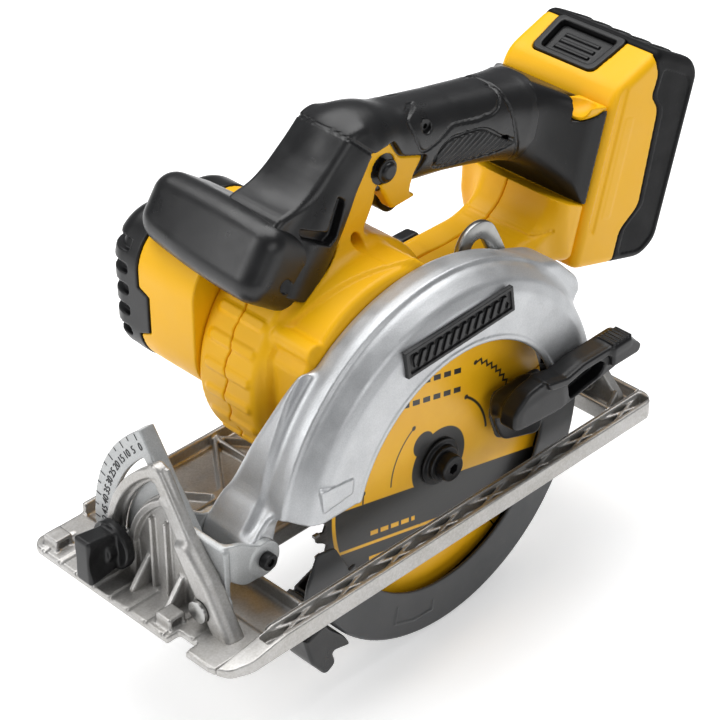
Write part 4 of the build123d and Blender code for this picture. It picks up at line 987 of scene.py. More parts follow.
def cap_line(s):
    """Where the cap ends and the barrel begins, along Y; a tongue steps forward."""
    tongue = both(np.abs(s.z - 94.0) - 13.0, 66.0 - s.x, 3.0)
    return BARREL_END + 7.0 * np.clip(-tongue / 3.0, 0, 1)


def barrel_field(s):
    """Yellow barrel: it narrows a little outwards and dies into the round collar."""
    taper = 0.9 * np.clip((s.y + 100) / 40, -1, 1)
    shape = squircle(s) - np.minimum(taper, 0) * 0.4
    blend = np.clip((s.y + 92) / 13.0, 0, 1)
    shape = np.maximum(shape, (collar_r(s) - 80.0) * blend + shape * (1 - blend))
    body = both(shape, np.maximum(cap_line(s) + 0.15 - s.y, s.y - COLLAR_RIGHT), 1.0)
    body = cut(body, thick(squircle(s, -3.0), s.y, -150, -82, 1))
    return cut(body, rod_y(s, MOTOR_X, MOTOR_Z, 33, -90, -70))


def cap_field(s):
    """Black cap: domed, with notches down its front and back edges and slots in its face."""
    body = both(thick(squircle(s, 0.3), s.y, CAP_END, -60, 12.0), s.y - cap_line(s) + 0.15, 0.8)
    for i in range(6):
        z = 64.5 + i * 11.6
        for x0, x1 in ((66, 100), (-20, 16)):
            slot = block(s, x0, x1, CAP_END - 9, -125.0, z, z + 5.6, 1.6)
            body = groove(body, slot, 3.2)
    for i in range(5):
        x = 26 + i * 8.0
        slot = block(s, x - 1.8, x + 1.8, CAP_END - 2, CAP_END + 9, 74, 124, 0.8)
        body = groove(body, slot, 3.0)
    return body


mould("motor_barrel_body", (0, -120, 58), (84, -78, 141), 0.9, barrel_field, "saw_body", YELLOW,
      ["motor_barrel"])
mould("vent_cap_body", (0, -143, 57), (84, -108, 141), 0.8, cap_field, "saw_body", BLACK,
      ["vent_cap"])


# ---- handle end and battery ----------------------------------------------------------
def scoop(s):
    """Half-round dish at the upper corner of the bell, on the blade side."""
    u, v = pack_uv(s)
    return np.maximum(np.hypot(u - 95.0, s.y - SCOOP_Y) - 9.3, -17.0 - v)


def fairing_field(s):
    """Black flare of the handle, cut level below and above."""
    u, v = pack_uv(s)
    body = both(bell(s), 44.5 - u - 0.18 * (v + 10), 1.2)
    body = both(body, u - 96.5 + 0.25 * (v + 12), 2.0)
    return cut(body, scoop(s), 0.8)


mould("rear_fairing_body", (-162, -98, 84), (-80, -22, 178), 0.9, fairing_field, "saw_body",
      BLACK, ["rear_fairing"])


def scoop_field(s):
    """Yellow dish of the housing behind the bell's upper corner."""
    u, v = pack_uv(s)
    body = both(scoop(s) + 0.15, np.maximum(v + 1.3, -14.0 - v), 0.5)
    body = both(body, np.maximum(u - 94.6, off_handle(s) - 36.0), 1.0)
    bowl = np.sqrt((u - 96.0) ** 2 + (s.y - SCOOP_Y) ** 2 + ((v + 13.5) * 0.75) ** 2) - 8.3
    return cut(body, bowl, 0.8)


mould("scoop_dish", (-158, -46, 136), (-124, -23, 168), 0.6, scoop_field, "saw_body",
      YELLOW)


def on_slope(s, points, lo, hi, r, corner=0.0):
    """Outline on the pack's sloped top, thick from lo to hi out of it.

    Its first number runs back down the slope from the button's middle, its second along Y."""
    if corner:
        points = eased(points, corner)
    u, v = pack_uv(s)
    du, dv = u - 113.0, v - 17.0
    reach, lift = du * 0.569 + dv * 0.822, du * 0.822 - dv * 0.569
    return thick(outline(reach, s.y - BUTTON_Y, points), lift, lo, hi, r)


def keystone(half, front, back):
    """Symmetric four-sided outline: half long each way, front and back half wide."""
    return [(-half, -front), (-half, front), (half, back), (half, -back)]


# the pack in u and v: its side outline and the part of it that the yellow cover takes
PACK_SIDE = [(7, 0), (96, 0), (104, 4), (122, 30), (121, 36), (115, 62), (108, 68), (16, 68),
             (7, 58)]
PACK_STEP = [(0, -5), (130, -5), (130, 27.5), (116, 27.5), (110, 32), (104, 32), (98, 31),
             (91, 39), (38, 43), (26, 32), (0, 32)]


def pack_shape(s):
    """Whole pack with the well of its release button."""
    body = pack_slab(s, PACK_SIDE, -BATTERY_HALF, BATTERY_HALF, 5.0, 7.0)
    return cut(body, on_slope(s, keystone(13.8, 20.5, 22.5), -7.5, 8.0, 0.0, 4.0), 0.8)


def pack_step(s):
    """Negative on the yellow cover's side of the wavy line round the pack."""
    return outline(*pack_uv(s), eased(PACK_STEP, 4.0))


def pack_room(s):
    """Room for the cells."""
    return pack_slab(s, [(12, 10), (90, 10), (90, 64), (12, 64)], -34, 34)


def cover_field(s):
    """Yellow front of the pack."""
    body = both(pack_shape(s), pack_step(s) + 0.12, 0.6)
    # shallow upright channel and a raised blank panel on each side
    channel = pack_slab(s, [(106, 5), (30, 5), (26, 9.5), (108, 9.5)], BATTERY_HALF - 0.9, 60.0,
                        0.0, 2.0)
    body = cut(body, channel, 0.9)
    panel = pack_slab(s, [(88, 13), (34, 13), (34, 20), (88, 20)], BATTERY_HALF - 2.0,
                      BATTERY_HALF + 0.25, 0.3, 2.0)
    body = join(body, panel, 0.3)
    rails = pack_slab(s, [(0, -2), (88, -2), (88, 8), (0, 8)], -20, 19.0)
    return cut(cut(body, rails), pack_room(s))


def case_field(s):
    """Black rear of the pack: sunken side panels and five finger slots over its top edge."""
    body = both(pack_shape(s), 0.12 - pack_step(s), 0.6)
    inset = [(112, 36), (107, 58), (102, 62), (20, 62), (12, 54), (12, 36), (26, 36), (38, 47),
             (90, 44), (98, 35)]
    body = cut(body, pack_slab(s, inset, BATTERY_HALF - 0.8, 60, 0.0, 3.0), 0.8)
    u, v = pack_uv(s)
    for i in range(5):
        middle = HANDLE_Y - 26.0 + i * 13.0
        slot = thick(outline(u, v, [(130, 36), (100, 36), (100, 80), (130, 80)]),
                     s.y, middle - 3.3, middle + 3.3, 0.8)
        body = groove(body, slot, 3.4)
    return cut(body, pack_room(s))


mould("battery_cover_body", (-196, -99, 44), (-114, -21, 182), 1.0, cover_field, "battery", YELLOW,
      ["battery_cover"])
mould("battery_case_body", (-222, -99, 40), (-146, -21, 182), 1.0, case_field, "battery",
      PACK_BLACK, ["battery_case"])


def button_frame_field(s):
    """Black surround of the release button."""
    outer = on_slope(s, keystone(13.6, 20.3, 22.3), -6.5, 0.9, 0.7, 4.5)
    return cut(outer, on_slope(s, keystone(10.2, 16.4, 18.0), -8, 4, 0.0, 3.0), 1.0)


def button_field(s):
    """Sunken button with three gripping ribs."""
    pad = on_slope(s, keystone(9.9, 16.0, 17.6), -4.6, -2.4, 0.5, 2.6)
    for i in range(3):
        low = -6.5 + i * 4.5
        bar = [(low, -11), (low, 11), (low + 2, 11), (low + 2, -11)]
        pad = join(pad, on_slope(s, bar, -3.5, -0.9, 0.6), 0.8)
    return pad


mould("battery_button_frame", (-180, -89, 156), (-146, -40, 180), 0.55, button_frame_field,
      "battery", BLACK)
mould("battery_latch_body", (-180, -84, 156), (-146, -44, 180), 0.55, button_field,
      "battery_latch", BLACK, ["battery_latch"])


# ---- guards --------------------------------------------------------------------------
def above_line(s, degrees, side):
    """Negative above a line through the arbor; side is +1 in front and -1 behind."""
    turn = math.radians(degrees)
    return side * (s.x * math.sin(turn)) - side * ((s.z - ARBOR_Z) * math.cos(turn))


def guard_shell(s):
    """Thin bowl over the blade's upper half, with a lip round its window."""
    r = arbor_r(s)
    skin = [(0, 15), (92, 15), (98.2, 12.4), (102.6, 5.2), (103.6, 2.4), (105.4, 1.6),
            (105.6, -3), (104.4, -11), (101.5, -15), (0, -15)]
    inside = [(0, 12.5), (91, 12.5), (96.5, 10.2), (100.6, 3.5), (102.6, -3),
              (101.5, -10.5), (99.5, -12.5), (0, -12.5)]
    wall = cut(outline(r, s.y, eased(skin, 1.8)), outline(r, s.y, eased(inside, 1.5)), 0.6)
    wall = cut(wall, thick(r - 68.5, s.y, 8, 30), 0.9)
    wall = join(wall, thick(np.abs(r - 70.2) - 1.2, s.y, 13, 15.55, 0.5), 0.8)
    front_panel = slab(s, [(71.9, 52.7), (90.2, 50.8), (91.2, 63.1), (71.2, 60.7)], 13, 15.7, 0.3,
                       1.0)
    wall = join(wall, front_panel, 0.4)
    wall = both(wall, both(above_line(s, 11, 1), above_line(s, 166, -1), 3.0), 1.5)
    for x, z, side in ((45, ARBOR_Z + 18.5, 1), (-45, ARBOR_Z + 14, -1)):
        low = both(thick(s.z - z, s.y, 4, 30), side * (x - side * 5 - s.x))
        wall = cut(wall, low, 2.0)
    disc = both(thick(r - 34, s.y, -15, -12.5, 0.5), ARBOR_Z - 15.5 - s.z)
    return join(wall, disc, 0.6)


def guard_arm(s):
    """Slanted plate, neck and cross barrel that carry the guard on the depth hinge."""
    y0, y1 = -34.7, -4.3
    arm = [(HINGE_X + 5, HINGE_Z + 6), (103, 52), (97, 72), (84, 98), (76, 108), (66, 101),
           (78, 88), (90, 66), (96, 50), (HINGE_X - 6, HINGE_Z - 5), (HINGE_X, HINGE_Z)]
    slant = ((s.y - y0) * 46.0 - (s.z - 46.0) * 16.0) / 48.7
    plate = both(slab(s, arm, y0, -12, 2.0, 5.0), -slant, 4.0)
    neck = slab(s, [(HINGE_X + 5, HINGE_Z + 6), (105, 46), (98, 46), (HINGE_X - 7, HINGE_Z - 4),
                    (HINGE_X, HINGE_Z)], y0, y1, 2.0, 3.0)
    barrel = rod_y(s, HINGE_X, HINGE_Z, 8.0, y0, y1, 0.8)
    arm = join(join(plate, neck, 5.0), barrel, 3.0)
    return cut(arm, thick(arbor_r(s) - 99.5, s.y, -12.6, 30))


def upper_guard_field(s):
    """The whole cast guard: shell, dust spout behind and arm in front."""
    spout = slab(s, [(-56, 112), (-80, 103), (-97, 86), (-99, 78), (-90, 72), (-80, 82), (-56, 100)],
                 -19.5, 3, 4.0, 6.0)
    body = join(guard_shell(s), both(spout, 96.0 - arbor_r(s), 1.0), 4.0)
    body = join(body, guard_arm(s), 5.0)
    return cut(body, rod_y(s, HINGE_X, HINGE_Z, 3.6, -60, 10), 0.4)


mould("upper_guard_body", (-112, -36, 8), (126, 17, 134), 0.9, upper_guard_field, "saw_body",
      GUARD, ["upper_guard"])


def badge_field(s):
    """Blank plate: a raised frame round slanted bars."""
    corners = [(38, 98.6), (-33, 103.2), (-31, 117.4), (40, 113.2)]
    plate = slab(s, corners, 14.6, 15.9, 0.2, 0.6)
    inner = slab(s, [(36.2, 100.6), (-31.0, 105.0), (-29.4, 115.4), (37.8, 111.4)], 10, 20)
    rim = cut(slab(s, corners, 14.6, 17.0, 0.25, 0.6), inner, 0.2)
    lean = s.x + 0.35 * (s.z - 100)
    bars = np.abs((lean + 2.6) % 5.2 - 2.6) - 1.35
    field = slab(s, [(33.8, 102.4), (-28.8, 106.6), (-27.4, 113.8), (35.4, 109.8)], 15, 17.3, 0.2)
    bars = both(field, bars, 0.2)
    return join(join(plate, rim, 0.2), bars, 0.2)


mould("guard_badge_body", (-35, 14, 96), (42, 18, 119), 0.35, badge_field, "saw_body", BLACK,
      ["guard_badge"])


def lever_field(s):
    """Thumb lever: hub plate, riser and ribbed arm, run into each other."""
    hub = slab(s, [(-30, 52), (-28, 40), (-35, 24), (-62, 15), (-65, 26), (-64, 44), (-50, 53)],
               8.2, 10.7, 1.0, 5.0)
    riser = slab(s, [(-28, 54), (-26, 42), (-60, 40), (-60, 50), (-50, 56)], 8.4, 26.5, 2.0, 5.0)
    arm = [(-34, 60), (-24, 53), (-23, 43), (-40, 41), (-62, 40), (-90, 43.5), (-111, 47),
           (-113, 53), (-103, 61.5), (-84, 61), (-70, 61), (-58, 58.5), (-46, 61.5)]
    blade = slab(s, arm, 17.5, 27.4, 1.6, 3.5)
    well = slab(s, [(-62, 53.5), (-82, 55.5), (-90, 51), (-86, 46), (-64, 42.5)], 20.5, 40, 1.0, 2.5)
    top = slab(s, [(-44, 61.8), (-58, 59), (-70, 61.5), (-84, 61.5), (-103, 61.8), (-103, 57.5),
                   (-84, 57), (-70, 57), (-58, 54.5), (-46, 57)], 17.5, 30.5, 1.2, 1.5)
    thumb = slab(s, [(-90, 50), (-110, 50), (-112, 54), (-103, 61.8), (-90, 61.5)], 19.5, 32.0,
                 1.6, 2.5)
    body = join(join(hub, riser, 5.0), blade, 4.0)
    body = join(join(cut(body, well, 1.5), top, 1.5), thumb, 3.0)
    for i in range(6):
        x = -90.5 - i * 2.5
        ridge = slab(s, [(x, 58), (x - 1.2, 58), (x - 1.2, 63.2), (x, 63.2)], 20.5, 31.2, 0.5)
        body = join(body, ridge, 0.5)
    edge = slab(s, [(-26, 70), (-23, 54), (-34, 60.5)], 15, 30)
    return cut(body, edge, 1.0)


mould("guard_lever_body", (-115, 7, 13), (-21, 34, 66), 0.7, lever_field, "lower_guard", BLACK,
      ["guard_lever"])


def bumper_field(s):
    """Soft hooked lip at the front of the lower guard."""
    lip = [(94.8, -25), (97.6, -24), (93, -41), (84, -53), (77, -49), (79.5, -41), (67, -44),
           (71, -36.5), (80, -27.6), (84.5, -21)]
    body = slab(s, lip, -8.8, 8.8, 1.6, 3.0)
    return cut(body, arbor_r(s) - 93.6, 0.5)


mould("guard_bumper_body", (62, -10, -56), (100, 10, -18), 0.6, bumper_field, "lower_guard",
      SOFT, ["guard_bumper"])


# ---- controls ------------------------------------------------------------------------
def knob_field(s):
    """Wing knob: stepped hub with a tall wing dished on both sides."""
    x0 = 144.1
    hub = rod_x(s, KNOB_Y, KNOB_Z, 12.5, x0, x0 + 5, 1.2)
    neck = rod_x(s, KNOB_Y, KNOB_Z, 6.0, x0 + 5, x0 + 10, 1.0)
    tall = [(x0 + 2, KNOB_Z - 9.5), (x0 + 21.5, KNOB_Z - 12.8), (x0 + 21.5, KNOB_Z + 12.8),
            (x0 + 2, KNOB_Z + 9.5)]
    wing = slab(s, tall, KNOB_Y - 5.4, KNOB_Y + 5.4, 1.8, 2.5)
    for side in (-1, 1):
        dish = np.sqrt((s.x - x0 - 14.0) ** 2 + (s.y - KNOB_Y - side * 23.4) ** 2
                       + (s.z - KNOB_Z) ** 2) - 20.0
        wing = cut(wing, dish, 1.0)
    body = join(join(hub, neck, 1.0), wing, 1.5)
    return cut(body, rod_x(s, KNOB_Y, KNOB_Z, 3.1, x0 - 2, x0 + 7))


mould("bevel_knob_body", (143, KNOB_Y - 14, KNOB_Z - 17), (170, KNOB_Y + 14, KNOB_Z + 17), 0.55,
      knob_field, "bevel_knob", BLACK, ["bevel_knob"])


def trigger_field(s):
    """Curved finger piece."""
    side = [(-30, 156), (-29.5, 140), (-27, 133), (-20, 131), (-14, 137), (-12, 156)]
    return slab(s, side, -68, -52, 3.0, 3.0)


mould("trigger_body", (-33, -70, 129), (-9, -50, 159), 0.6, trigger_field, "trigger", BLACK,
      ["trigger"])


def lock_off_field(s):
    """Cross pin with a raised ring at each end."""
    pin = rod_y(s, LOCK_X, LOCK_Z, 4.6, -81, -39, 1.8)
    ring = thick(np.abs(np.hypot(s.x - LOCK_X, s.z - LOCK_Z) - 5.2) - 0.8, off_handle(s),
                 18.0, 19.2, 0.3)
    return join(pin, ring, 0.6)


mould("lock_off_body", (-14, -83, 157), (0, -37, 171), 0.5, lock_off_field, "lock_off_button",
      BLACK, ["lock_off_button"])


def depth_lever_field(s):
    """Cam lever of the depth clamp, upright when it is locked."""
    x, z, y1 = CLAMP_X, CLAMP_Z, COLLAR_RIGHT - 0.3
    hub = rod_y(s, x, z, 9, y1 - 8, y1, 1.5)
    arm = slab(s, [(x - 7, z), (x + 7, z), (x + 9, z + 50), (x - 3, z + 50)], y1 - 7, y1 - 1, 2.0)
    tip = slab(s, [(x - 4, z + 44), (x + 9.5, z + 44), (x + 9.5, z + 51), (x - 3, z + 51)],
               y1 - 10, y1 - 2.0, 1.5, 2.0)
    return join(join(hub, arm, 3.0), tip, 2.0)


mould("depth_lever_body", (-79, -93, 25), (-54, -77, 93), 0.7, depth_lever_field, "depth_lever",
      BLACK, ["depth_lever"])


def flange_face_field(s):
    """Outer flange: thin disc with a raised boss."""
    disc = rod_y(s, 0, ARBOR_Z, 12.4, 0.7, 2.4, 0.5)
    return join(disc, rod_y(s, 0, ARBOR_Z, 9.4, 0.7, 5.2, 0.9), 0.8)


def blade_bolt_field(s):
    """Round-headed bolt with a six-sided socket."""
    head = rod_y(s, 0, ARBOR_Z, 6.9, 4.6, 10.8, 1.1)
    flats = [np.abs(s.x * math.cos(a) + (s.z - ARBOR_Z) * math.sin(a)) - 2.5
             for a in (math.radians(60 * i + 12) for i in range(3))]
    socket = thick(np.maximum(np.maximum(flats[0], flats[1]), flats[2]), s.y, 7.4, 30)
    return cut(head, socket, 0.3)


mould("outer_flange_body", (-14, 0, 11), (14, 7, 40), 0.35, flange_face_field, "arbor", OXIDE,
      ["outer_flange"])
mould("blade_bolt_body", (-8, 4, 17), (8, 13, 34), 0.25, blade_bolt_field, "arbor", OXIDE,
      ["blade_bolt"])


def bevel_r(s):
    """Distance from the bevel axis."""
    return np.hypot(s.y - PIVOT_Y, s.z - PIVOT_Z)


def bevel_sector(s, low, high):
    """Distance past either end of a sector about the bevel axis, 0 degrees being level."""
    turn = np.degrees(np.arctan2(s.z - PIVOT_Z, PIVOT_Y - s.y))
    return np.maximum(low - turn, turn - high) * np.radians(bevel_r(s))


def bevel_arc(s, middle, half, low, high, x0, x1, r):
    """Curved bar about the bevel axis, thick from x0 to x1."""
    flat = np.maximum(np.abs(bevel_r(s) - middle) - half, bevel_sector(s, low, high))
    return thick(flat, s.x, x0, x1, r)


def bracket_field(s):
    """Tilting bracket: scale arc, stiff edge bar and the rounded U that holds the hinge."""
    x0, x1 = 132.7, 135.7
    scale = bevel_arc(s, 78.25, 6.25, -3.0, 56.0, x0, x1, 0.5)
    fan = bevel_arc(s, 34.0, 28.0, -3.0, 56.0, x0, x1, 0.5)
    foot = bevel_arc(s, 66.0, 18.5, -3.0, 6.0, x0, x1, 0.5)
    bar = bevel_arc(s, 57.2, 27.3, 50.5, 56.0, x0 - 6.0, x1, 1.2)
    hub = rod_x(s, PIVOT_Y, PIVOT_Z, 8.4, x0, x1, 0.5)
    cheek = plank(s, [(-38, 17), (-1, 17), (-1, 45), (-38, 45)], x0, x1, 0.6, 3.0)
    plate = join(join(scale, fan), join(join(foot, hub), join(bar, cheek)))
    ring = np.abs(rounded(s.x - HINGE_X, s.y + 19.5, 22.2, 17.2, 7.0)) - 1.5
    side = outline(s.x, s.z, eased([(136, 45.5), (127, 45.5), (116, 37.5), (103, 37.5),
                                    (103, 19.5), (124, 19.5), (136, 29)], 4.0))
    yoke = both(both(ring, side, 0.8), 108.0 - s.x)
    for y0, y1 in ((-4.6, -0.5), (-38.5, -34.9)):
        yoke = join(yoke, rod_y(s, HINGE_X, HINGE_Z, 9.2, y0, y1, 0.7), 1.0)
    body = join(plate, yoke, 2.0)
    body = cut(body, rod_x(s, PIVOT_Y, PIVOT_Z, 3.1, 100, 150))
    body = cut(body, rod_x(s, KNOB_Y, KNOB_Z, 3.1, 100, 150))
    return cut(body, rod_y(s, HINGE_X, HINGE_Z, 3.6, -60, 20))


mould("bevel_bracket_body", (102, -95, 4), (137, 2, 86), 0.6, bracket_field, "bevel_frame",
      BRACKET, ["bevel_bracket"])


# ---- shoe ----------------------------------------------------------------------------
# the sole's plan in X and Y, and the heights of its floor, ribs and walls
SOLE = [(-132, -105), (-126, -111.4), (157, -111.4), (160.9, -107), (160.9, 15), (157, 24),
        (147, 28.2), (-127, 28.2), (-132, 23)]
SOLE_TOP, RIB_TOP, WALL_TOP = 3.6, 8.4, 9.9
SLOT_LEFT = 16.5
RAIL_Y = 17.4                             # where the fine mesh of the channel begins


def shoe_ribs(s):
    """Crossed ribs with round bosses in the wide bay, zigzag ribs in the narrow channel."""
    x0, y0, y1 = -129.4, -108.6, -31.8
    middle = (y0 + y1) / 2
    bay = (105.0 - x0) / 4
    flat = segment(s.x, s.y, (x0, middle), (105, middle), 2.2)
    for i in range(4):
        a, b = x0 + i * bay, x0 + (i + 1) * bay
        for start, end in (((a, y0), (b, y1)), ((a, y1), (b, y0)), ((b, y0), (b, y1))):
            flat = np.minimum(flat, segment(s.x, s.y, start, end, 2.3))
        flat = np.minimum(flat, np.hypot(s.x - (a + b) / 2, s.y - middle) - 5.2)
    cell = (131.0 - x0) / 8
    for i in range(8):
        a, b = x0 + i * cell, x0 + (i + 1) * cell
        for start, end in (((a, 18), (b, 26.8)), ((a, 26.8), (b, 18))):
            flat = np.minimum(flat, segment(s.x, s.y, start, end, 2.0))
    return thick(flat, s.z, 2.5, RIB_TOP, 0.6)


def rear_lug(s):
    """Low casting behind the blade slot that carries the rear bevel pin, with three windows."""
    lug = plank(s, [(14, 2.5), (14, 9), (-2, 24), (-24, 30), (-46, 30), (-66, 8), (-66, 2.5)],
                -124, -118, 0.8, 2.0)
    for y in (-28, -40, -52):
        lug = cut(lug, block(s, -130, -110, y - 3.5, y + 3.5, 9.5, 19), 0.6)
    for y in (12.5, -34, -60):
        fin = slab(s, [(-119, 2.5), (-110, 2.5), (-119, 14)], y - 1.3, y + 1.3, 0.5)
        lug = join(lug, fin, 1.0)
    return lug


def shoe_field(s):
    """Flat sole with raised walls, the blade slot, the ribs, the rear lug and fence bridges."""
    body = thick(outline(s.x, s.y, eased(SOLE, 3.0)), s.z, 0, WALL_TOP, 0.8)
    wells = block(s, -129.4, 129, -108.6, -31.8, SOLE_TOP, 20, 1.0)
    for x0, x1, y0, y1 in ((-129.4, -109.8, -33, SLOT_LEFT), (-129.4, 135, 19.3, 25.4),
                           (107.8, 129, -33, SLOT_LEFT)):
        wells = np.minimum(wells, block(s, x0, x1, y0, y1, SOLE_TOP, 20, 1.0))
    body = cut(body, wells, 1.0)
    body = join(body, both(shoe_ribs(s), thick(outline(s.x, s.y, SOLE) + 1.5, s.z, 0, 9)), 1.0)
    # the apron in front lies lower than the walls, and the channel's wall slopes down to it
    body = cut(body, slab(s, [(129, 11), (129, 4.4), (163, 4.0), (163, 11)], -114, 18.0, 0.5), 0.8)
    ramp = [(127, 11), (127, WALL_TOP), (163, 4.0), (163, 11)]
    body = cut(body, slab(s, ramp, 17.0, 30, 0.2), 0.8)
    # the blade's slot, the sight notch and the relief under the motor
    body = cut(body, block(s, -107, 105, -29, SLOT_LEFT, -5, 40, 1.0), 0.8)
    body = cut(body, block(s, 153.4, 170, -13.4, -1.1, -5, 20, 0.8), 0.6)
    body = cut(body, block(s, -34, 34, -55, -28, 6.5, 40), 0.8)
    for i in range(9):
        dent = 0.6 * np.exp(-((s.y + 101.4 - i * 12.0) / 0.9) ** 2)
        body = body + dent * np.clip((s.x - 141.0) / 2.0, 0, 1) * (s.z > 2.5)
    body = join(body, rear_lug(s), 2.0)
    for y in (-101, -21):
        body = join(body, block(s, 147, 157, y - 5, y + 5, 2.5, 9.6, 0.8), 1.0)
        body = cut(body, block(s, 149, 155, y - 6, y + 6, 4.6, 7.8), 0.4)
    return cut(body, rod_x(s, PIVOT_Y, PIVOT_Z, 3.0, -130, -110))


def shoe_bay_field(s):
    """The shoe without its channel."""
    return both(shoe_field(s), s.y - RAIL_Y)


def shoe_rail_field(s):
    """The narrow channel outside the blade slot, meshed finer for its thin ribs."""
    return both(shoe_field(s), RAIL_Y - s.y)


mould("shoe_body", (-134, -113, -1.5), (163, 19, 32), 1.1, shoe_bay_field, "shoe", SHOE,
      ["shoe"])
mould("shoe_rail", (-134, 16, -1.5), (163, 30, 12), 0.62, shoe_rail_field, "shoe", SHOE,
      ["shoe"])


def quadrant_field(s):
    """Upright casting at the front: double rim round the bevel slot, ribs and a broad bar."""
    x0, x1 = 136.0, 140.0
    r = bevel_r(s)
    inside = outline(s.y, s.z, [(-88, 2), (-88, 9), (-77, 14), (-72, 36), (-60, 60), (-40, 78),
                                (-34, 74), (-18, 44), (11.5, 2)])
    face = thick(np.maximum(r - 66.0, inside), s.x, x0, x1 - 1.2, 0.5)
    rims = np.minimum(np.abs(r - 66.2) - 2.4, np.abs(r - 51.6) - 1.8)
    rims = np.maximum(np.maximum(rims, bevel_sector(s, -14.0, 63.0)), inside - 1.5)
    body = join(face, thick(rims, s.x, x0, x1 + 2.4, 0.8), 1.2)
    bar = [(-44, 72), (-40.5, 77), (-35.5, 75.5), (-19, 48.5), (-4.5, 31), (11.5, 2), (-1, 2),
           (-18, 28), (-30, 48)]
    body = join(body, plank(s, bar, x0, x1 + 2.4, 1.6, 3.0), 1.2)
    low = [(-26.5, 42), (-17, 45), (-4.5, 31), (11.5, 2), (-1, 2), (-18, 28)]
    body = join(body, plank(s, low, x0, x1 + 5.5, 2.5, 3.0), 3.0)
    body = cut(body, bevel_arc(s, BEVEL_SLOT_R, 3.4, 2.5, 60.0, 130, 160, 0.0), 0.5)
    for y, top in ((-57.5, 24), (-45.0, 44), (-35.0, 46)):
        body = join(body, block(s, x1 - 2, x1 + 1.8, y - 1.1, y + 1.1, 2, top, 0.8), 1.0)
    for y in (-50.0, -27.0):
        fin = [(x1 - 2, 2), (x1 + 11, 2), (x1 + 11, 4.5), (x1, 19), (x1 - 2, 19)]
        body = join(body, slab(s, fin, y - 1.8, y + 1.8, 0.8, 1.0), 1.5)
    hub = rod_x(s, PIVOT_Y, PIVOT_Z, 7.6, x0, x1 + 3, 1.0)
    body = cut(join(body, hub, 1.5), rod_x(s, PIVOT_Y, PIVOT_Z, 5.6, x1 + 3.5, 160))
    body = cut(body, rod_x(s, PIVOT_Y, PIVOT_Z, 3.0, 130, 160))
    return both(body, 2.4 - s.z)


mould("shoe_quadrant", (134, -94, 1), (155, 18, 84), 0.65, quadrant_field, "shoe", SHOE)


def round_head_field(s):
    """Hinge bolt: plain shank and a small round head with a socket."""
    shank = rod_y(s, HINGE_X, HINGE_Z, 3.4, -42, 0, 0.4)
    head = rod_y(s, HINGE_X, HINGE_Z, 4.2, -0.7, 3.6, 0.8)
    return cut(join(shank, head), rod_y(s, HINGE_X, HINGE_Z, 2.0, 1.4, 8), 0.3)


mould("depth_hinge_bolt_body", (106, -43, 22), (118, 5, 35), 0.35, round_head_field, "bevel_frame",
      OXIDE, ["depth_hinge_bolt"])


# ---- lower guard ---------------------------------------------------------------------
def lower_guard_field(s):
    """Thin shell round the blade's lower half, with the lever's tab and a front cheek."""
    r = arbor_r(s)
    shell = outline(r, s.y, [(67.3, 8), (91.9, 8), (93.4, 6.5), (93.4, -9), (16, -9), (16, -7.2),
                             (91.6, -7.2), (91.6, 6.2), (67.3, 6.2)])
    turn = np.degrees(np.arctan2(s.z - ARBOR_Z, s.x)) % 360.0
    sweep = np.maximum(168.0 - turn, turn - 340.0) * np.radians(1.0) * np.minimum(r, 60.0)
    hub = both(rod_y(s, 0, ARBOR_Z, 26, -9, -7.2, 0.3), 16.0 - r)
    tab = slab(s, [(-30, 53), (-28, 40), (-34, 24), (-66, 16), (-70, 25), (-70, 42), (-62, 52)],
               6.2, 8, 0.4, 3.0)
    cheek = slab(s, [(66, -6), (68, 4), (76, 19), (87, 21), (94, 6), (97, -8), (97, -24), (88, -9)],
                 6.2, 8, 0.4, 2.0)
    edge = slab(s, [(97, -8), (97, -24), (94.6, -24), (87, -9), (90, -6)], -9, 8, 0.4)
    body = join(join(both(shell, sweep, 0.6), hub), tab, 0.5)
    body = join(body, join(cheek, edge), 0.5)
    # raised outline on the outer face, low in front
    mark = [(35, -41), (37, -50), (24, -55), (11, -56), (10.5, -51)]
    for a, b in zip(mark, mark[1:]):
        line = segment(s.x, s.z, a, b, 1.2)
        body = join(body, thick(line, s.y, 7, 8.6, 0.3), 0.4)
    return body


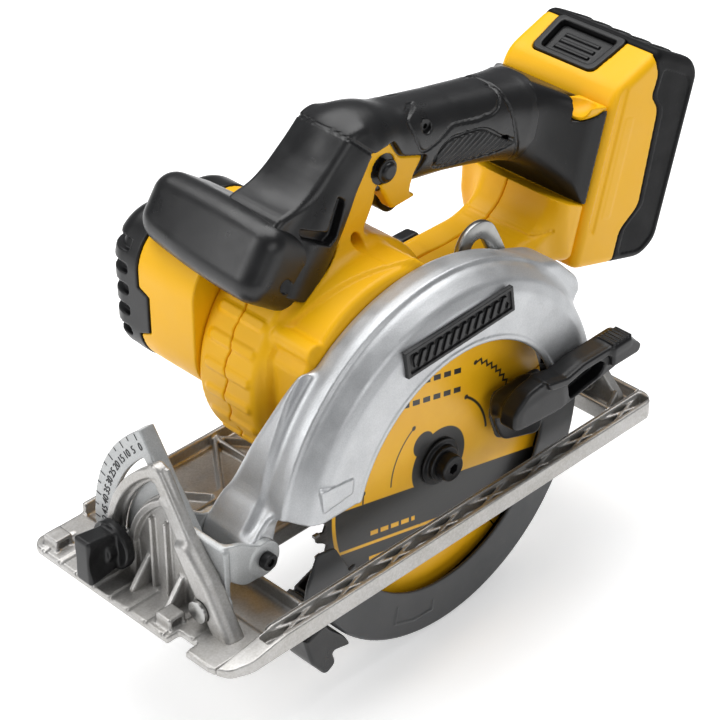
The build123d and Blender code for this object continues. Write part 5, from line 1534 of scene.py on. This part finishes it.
mould("lower_guard_body", (-95, -10.5, -70), (99, 9.5, 56), 0.85, lower_guard_field, "lower_guard",
      DARK, ["lower_guard"])


# ---- bevel scale ---------------------------------------------------------------------
SCALE_FACE = 135.75                       # front face of the scale arc, X


def scale_tick(number, middle, out, across):
    """One short raised line at the scale's rim, longer at every tenth degree."""
    r0, r1, half = (80.6 if number % 2 == 0 else 81.8), 84.0, 0.22
    corners = [middle + out * r + across * w
               for r, w in ((r0, -half), (r1, -half), (r1, half), (r0, half))]
    verts = np.array([(x, y, z) for x in (SCALE_FACE - 0.3, SCALE_FACE + 0.12) for y, z in corners])
    quads = np.array([[4, 5, 6, 7], [0, 4, 7, 3], [1, 2, 6, 5], [0, 1, 5, 4], [3, 7, 6, 2]])
    tick = mesh_piece("scale_tick_%d" % number, verts, quads)
    tick.data.polygons.foreach_set("use_smooth", np.zeros(len(quads), bool))
    return tick


def scale_numeral(number, middle, out, across):
    """The tick's angle in degrees, upright to its radius."""
    label = bpy.data.curves.new("numeral_curve", "FONT")
    label.body = str(number * 5)
    label.size = 5.4 * MM
    label.extrude = 0.12 * MM
    label.align_x, label.align_y = "CENTER", "CENTER"
    holder = bpy.data.objects.new("numeral_holder", label)
    numeral = bpy.data.objects.new("scale_numeral_%d" % (number * 5),
                                   bpy.data.meshes.new_from_object(holder))
    bpy.data.objects.remove(holder)
    bpy.context.scene.collection.objects.link(numeral)
    at = middle + out * 77.2
    numeral.matrix_world = Matrix(((0, 0, 1, (SCALE_FACE + 0.05) * MM),
                                   (across[0], out[0], 0, at[0] * MM),
                                   (across[1], out[1], 0, at[1] * MM),
                                   (0, 0, 0, 1)))
    return numeral


def scale_marks():
    """Ticks and numerals on the tilting scale, 0 at the top end."""
    middle = np.array([PIVOT_Y, PIVOT_Z])
    for i in range(11):
        turn = math.radians(52.5 - i * 5.0)
        out = np.array([-math.cos(turn), math.sin(turn)])
        across = np.array([math.sin(turn), math.cos(turn)])
        for make in (scale_tick, scale_numeral):
            piece = make(i, middle, out, across)
            piece.data.materials.append(OXIDE)
            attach(piece, "bevel_frame")


scale_marks()
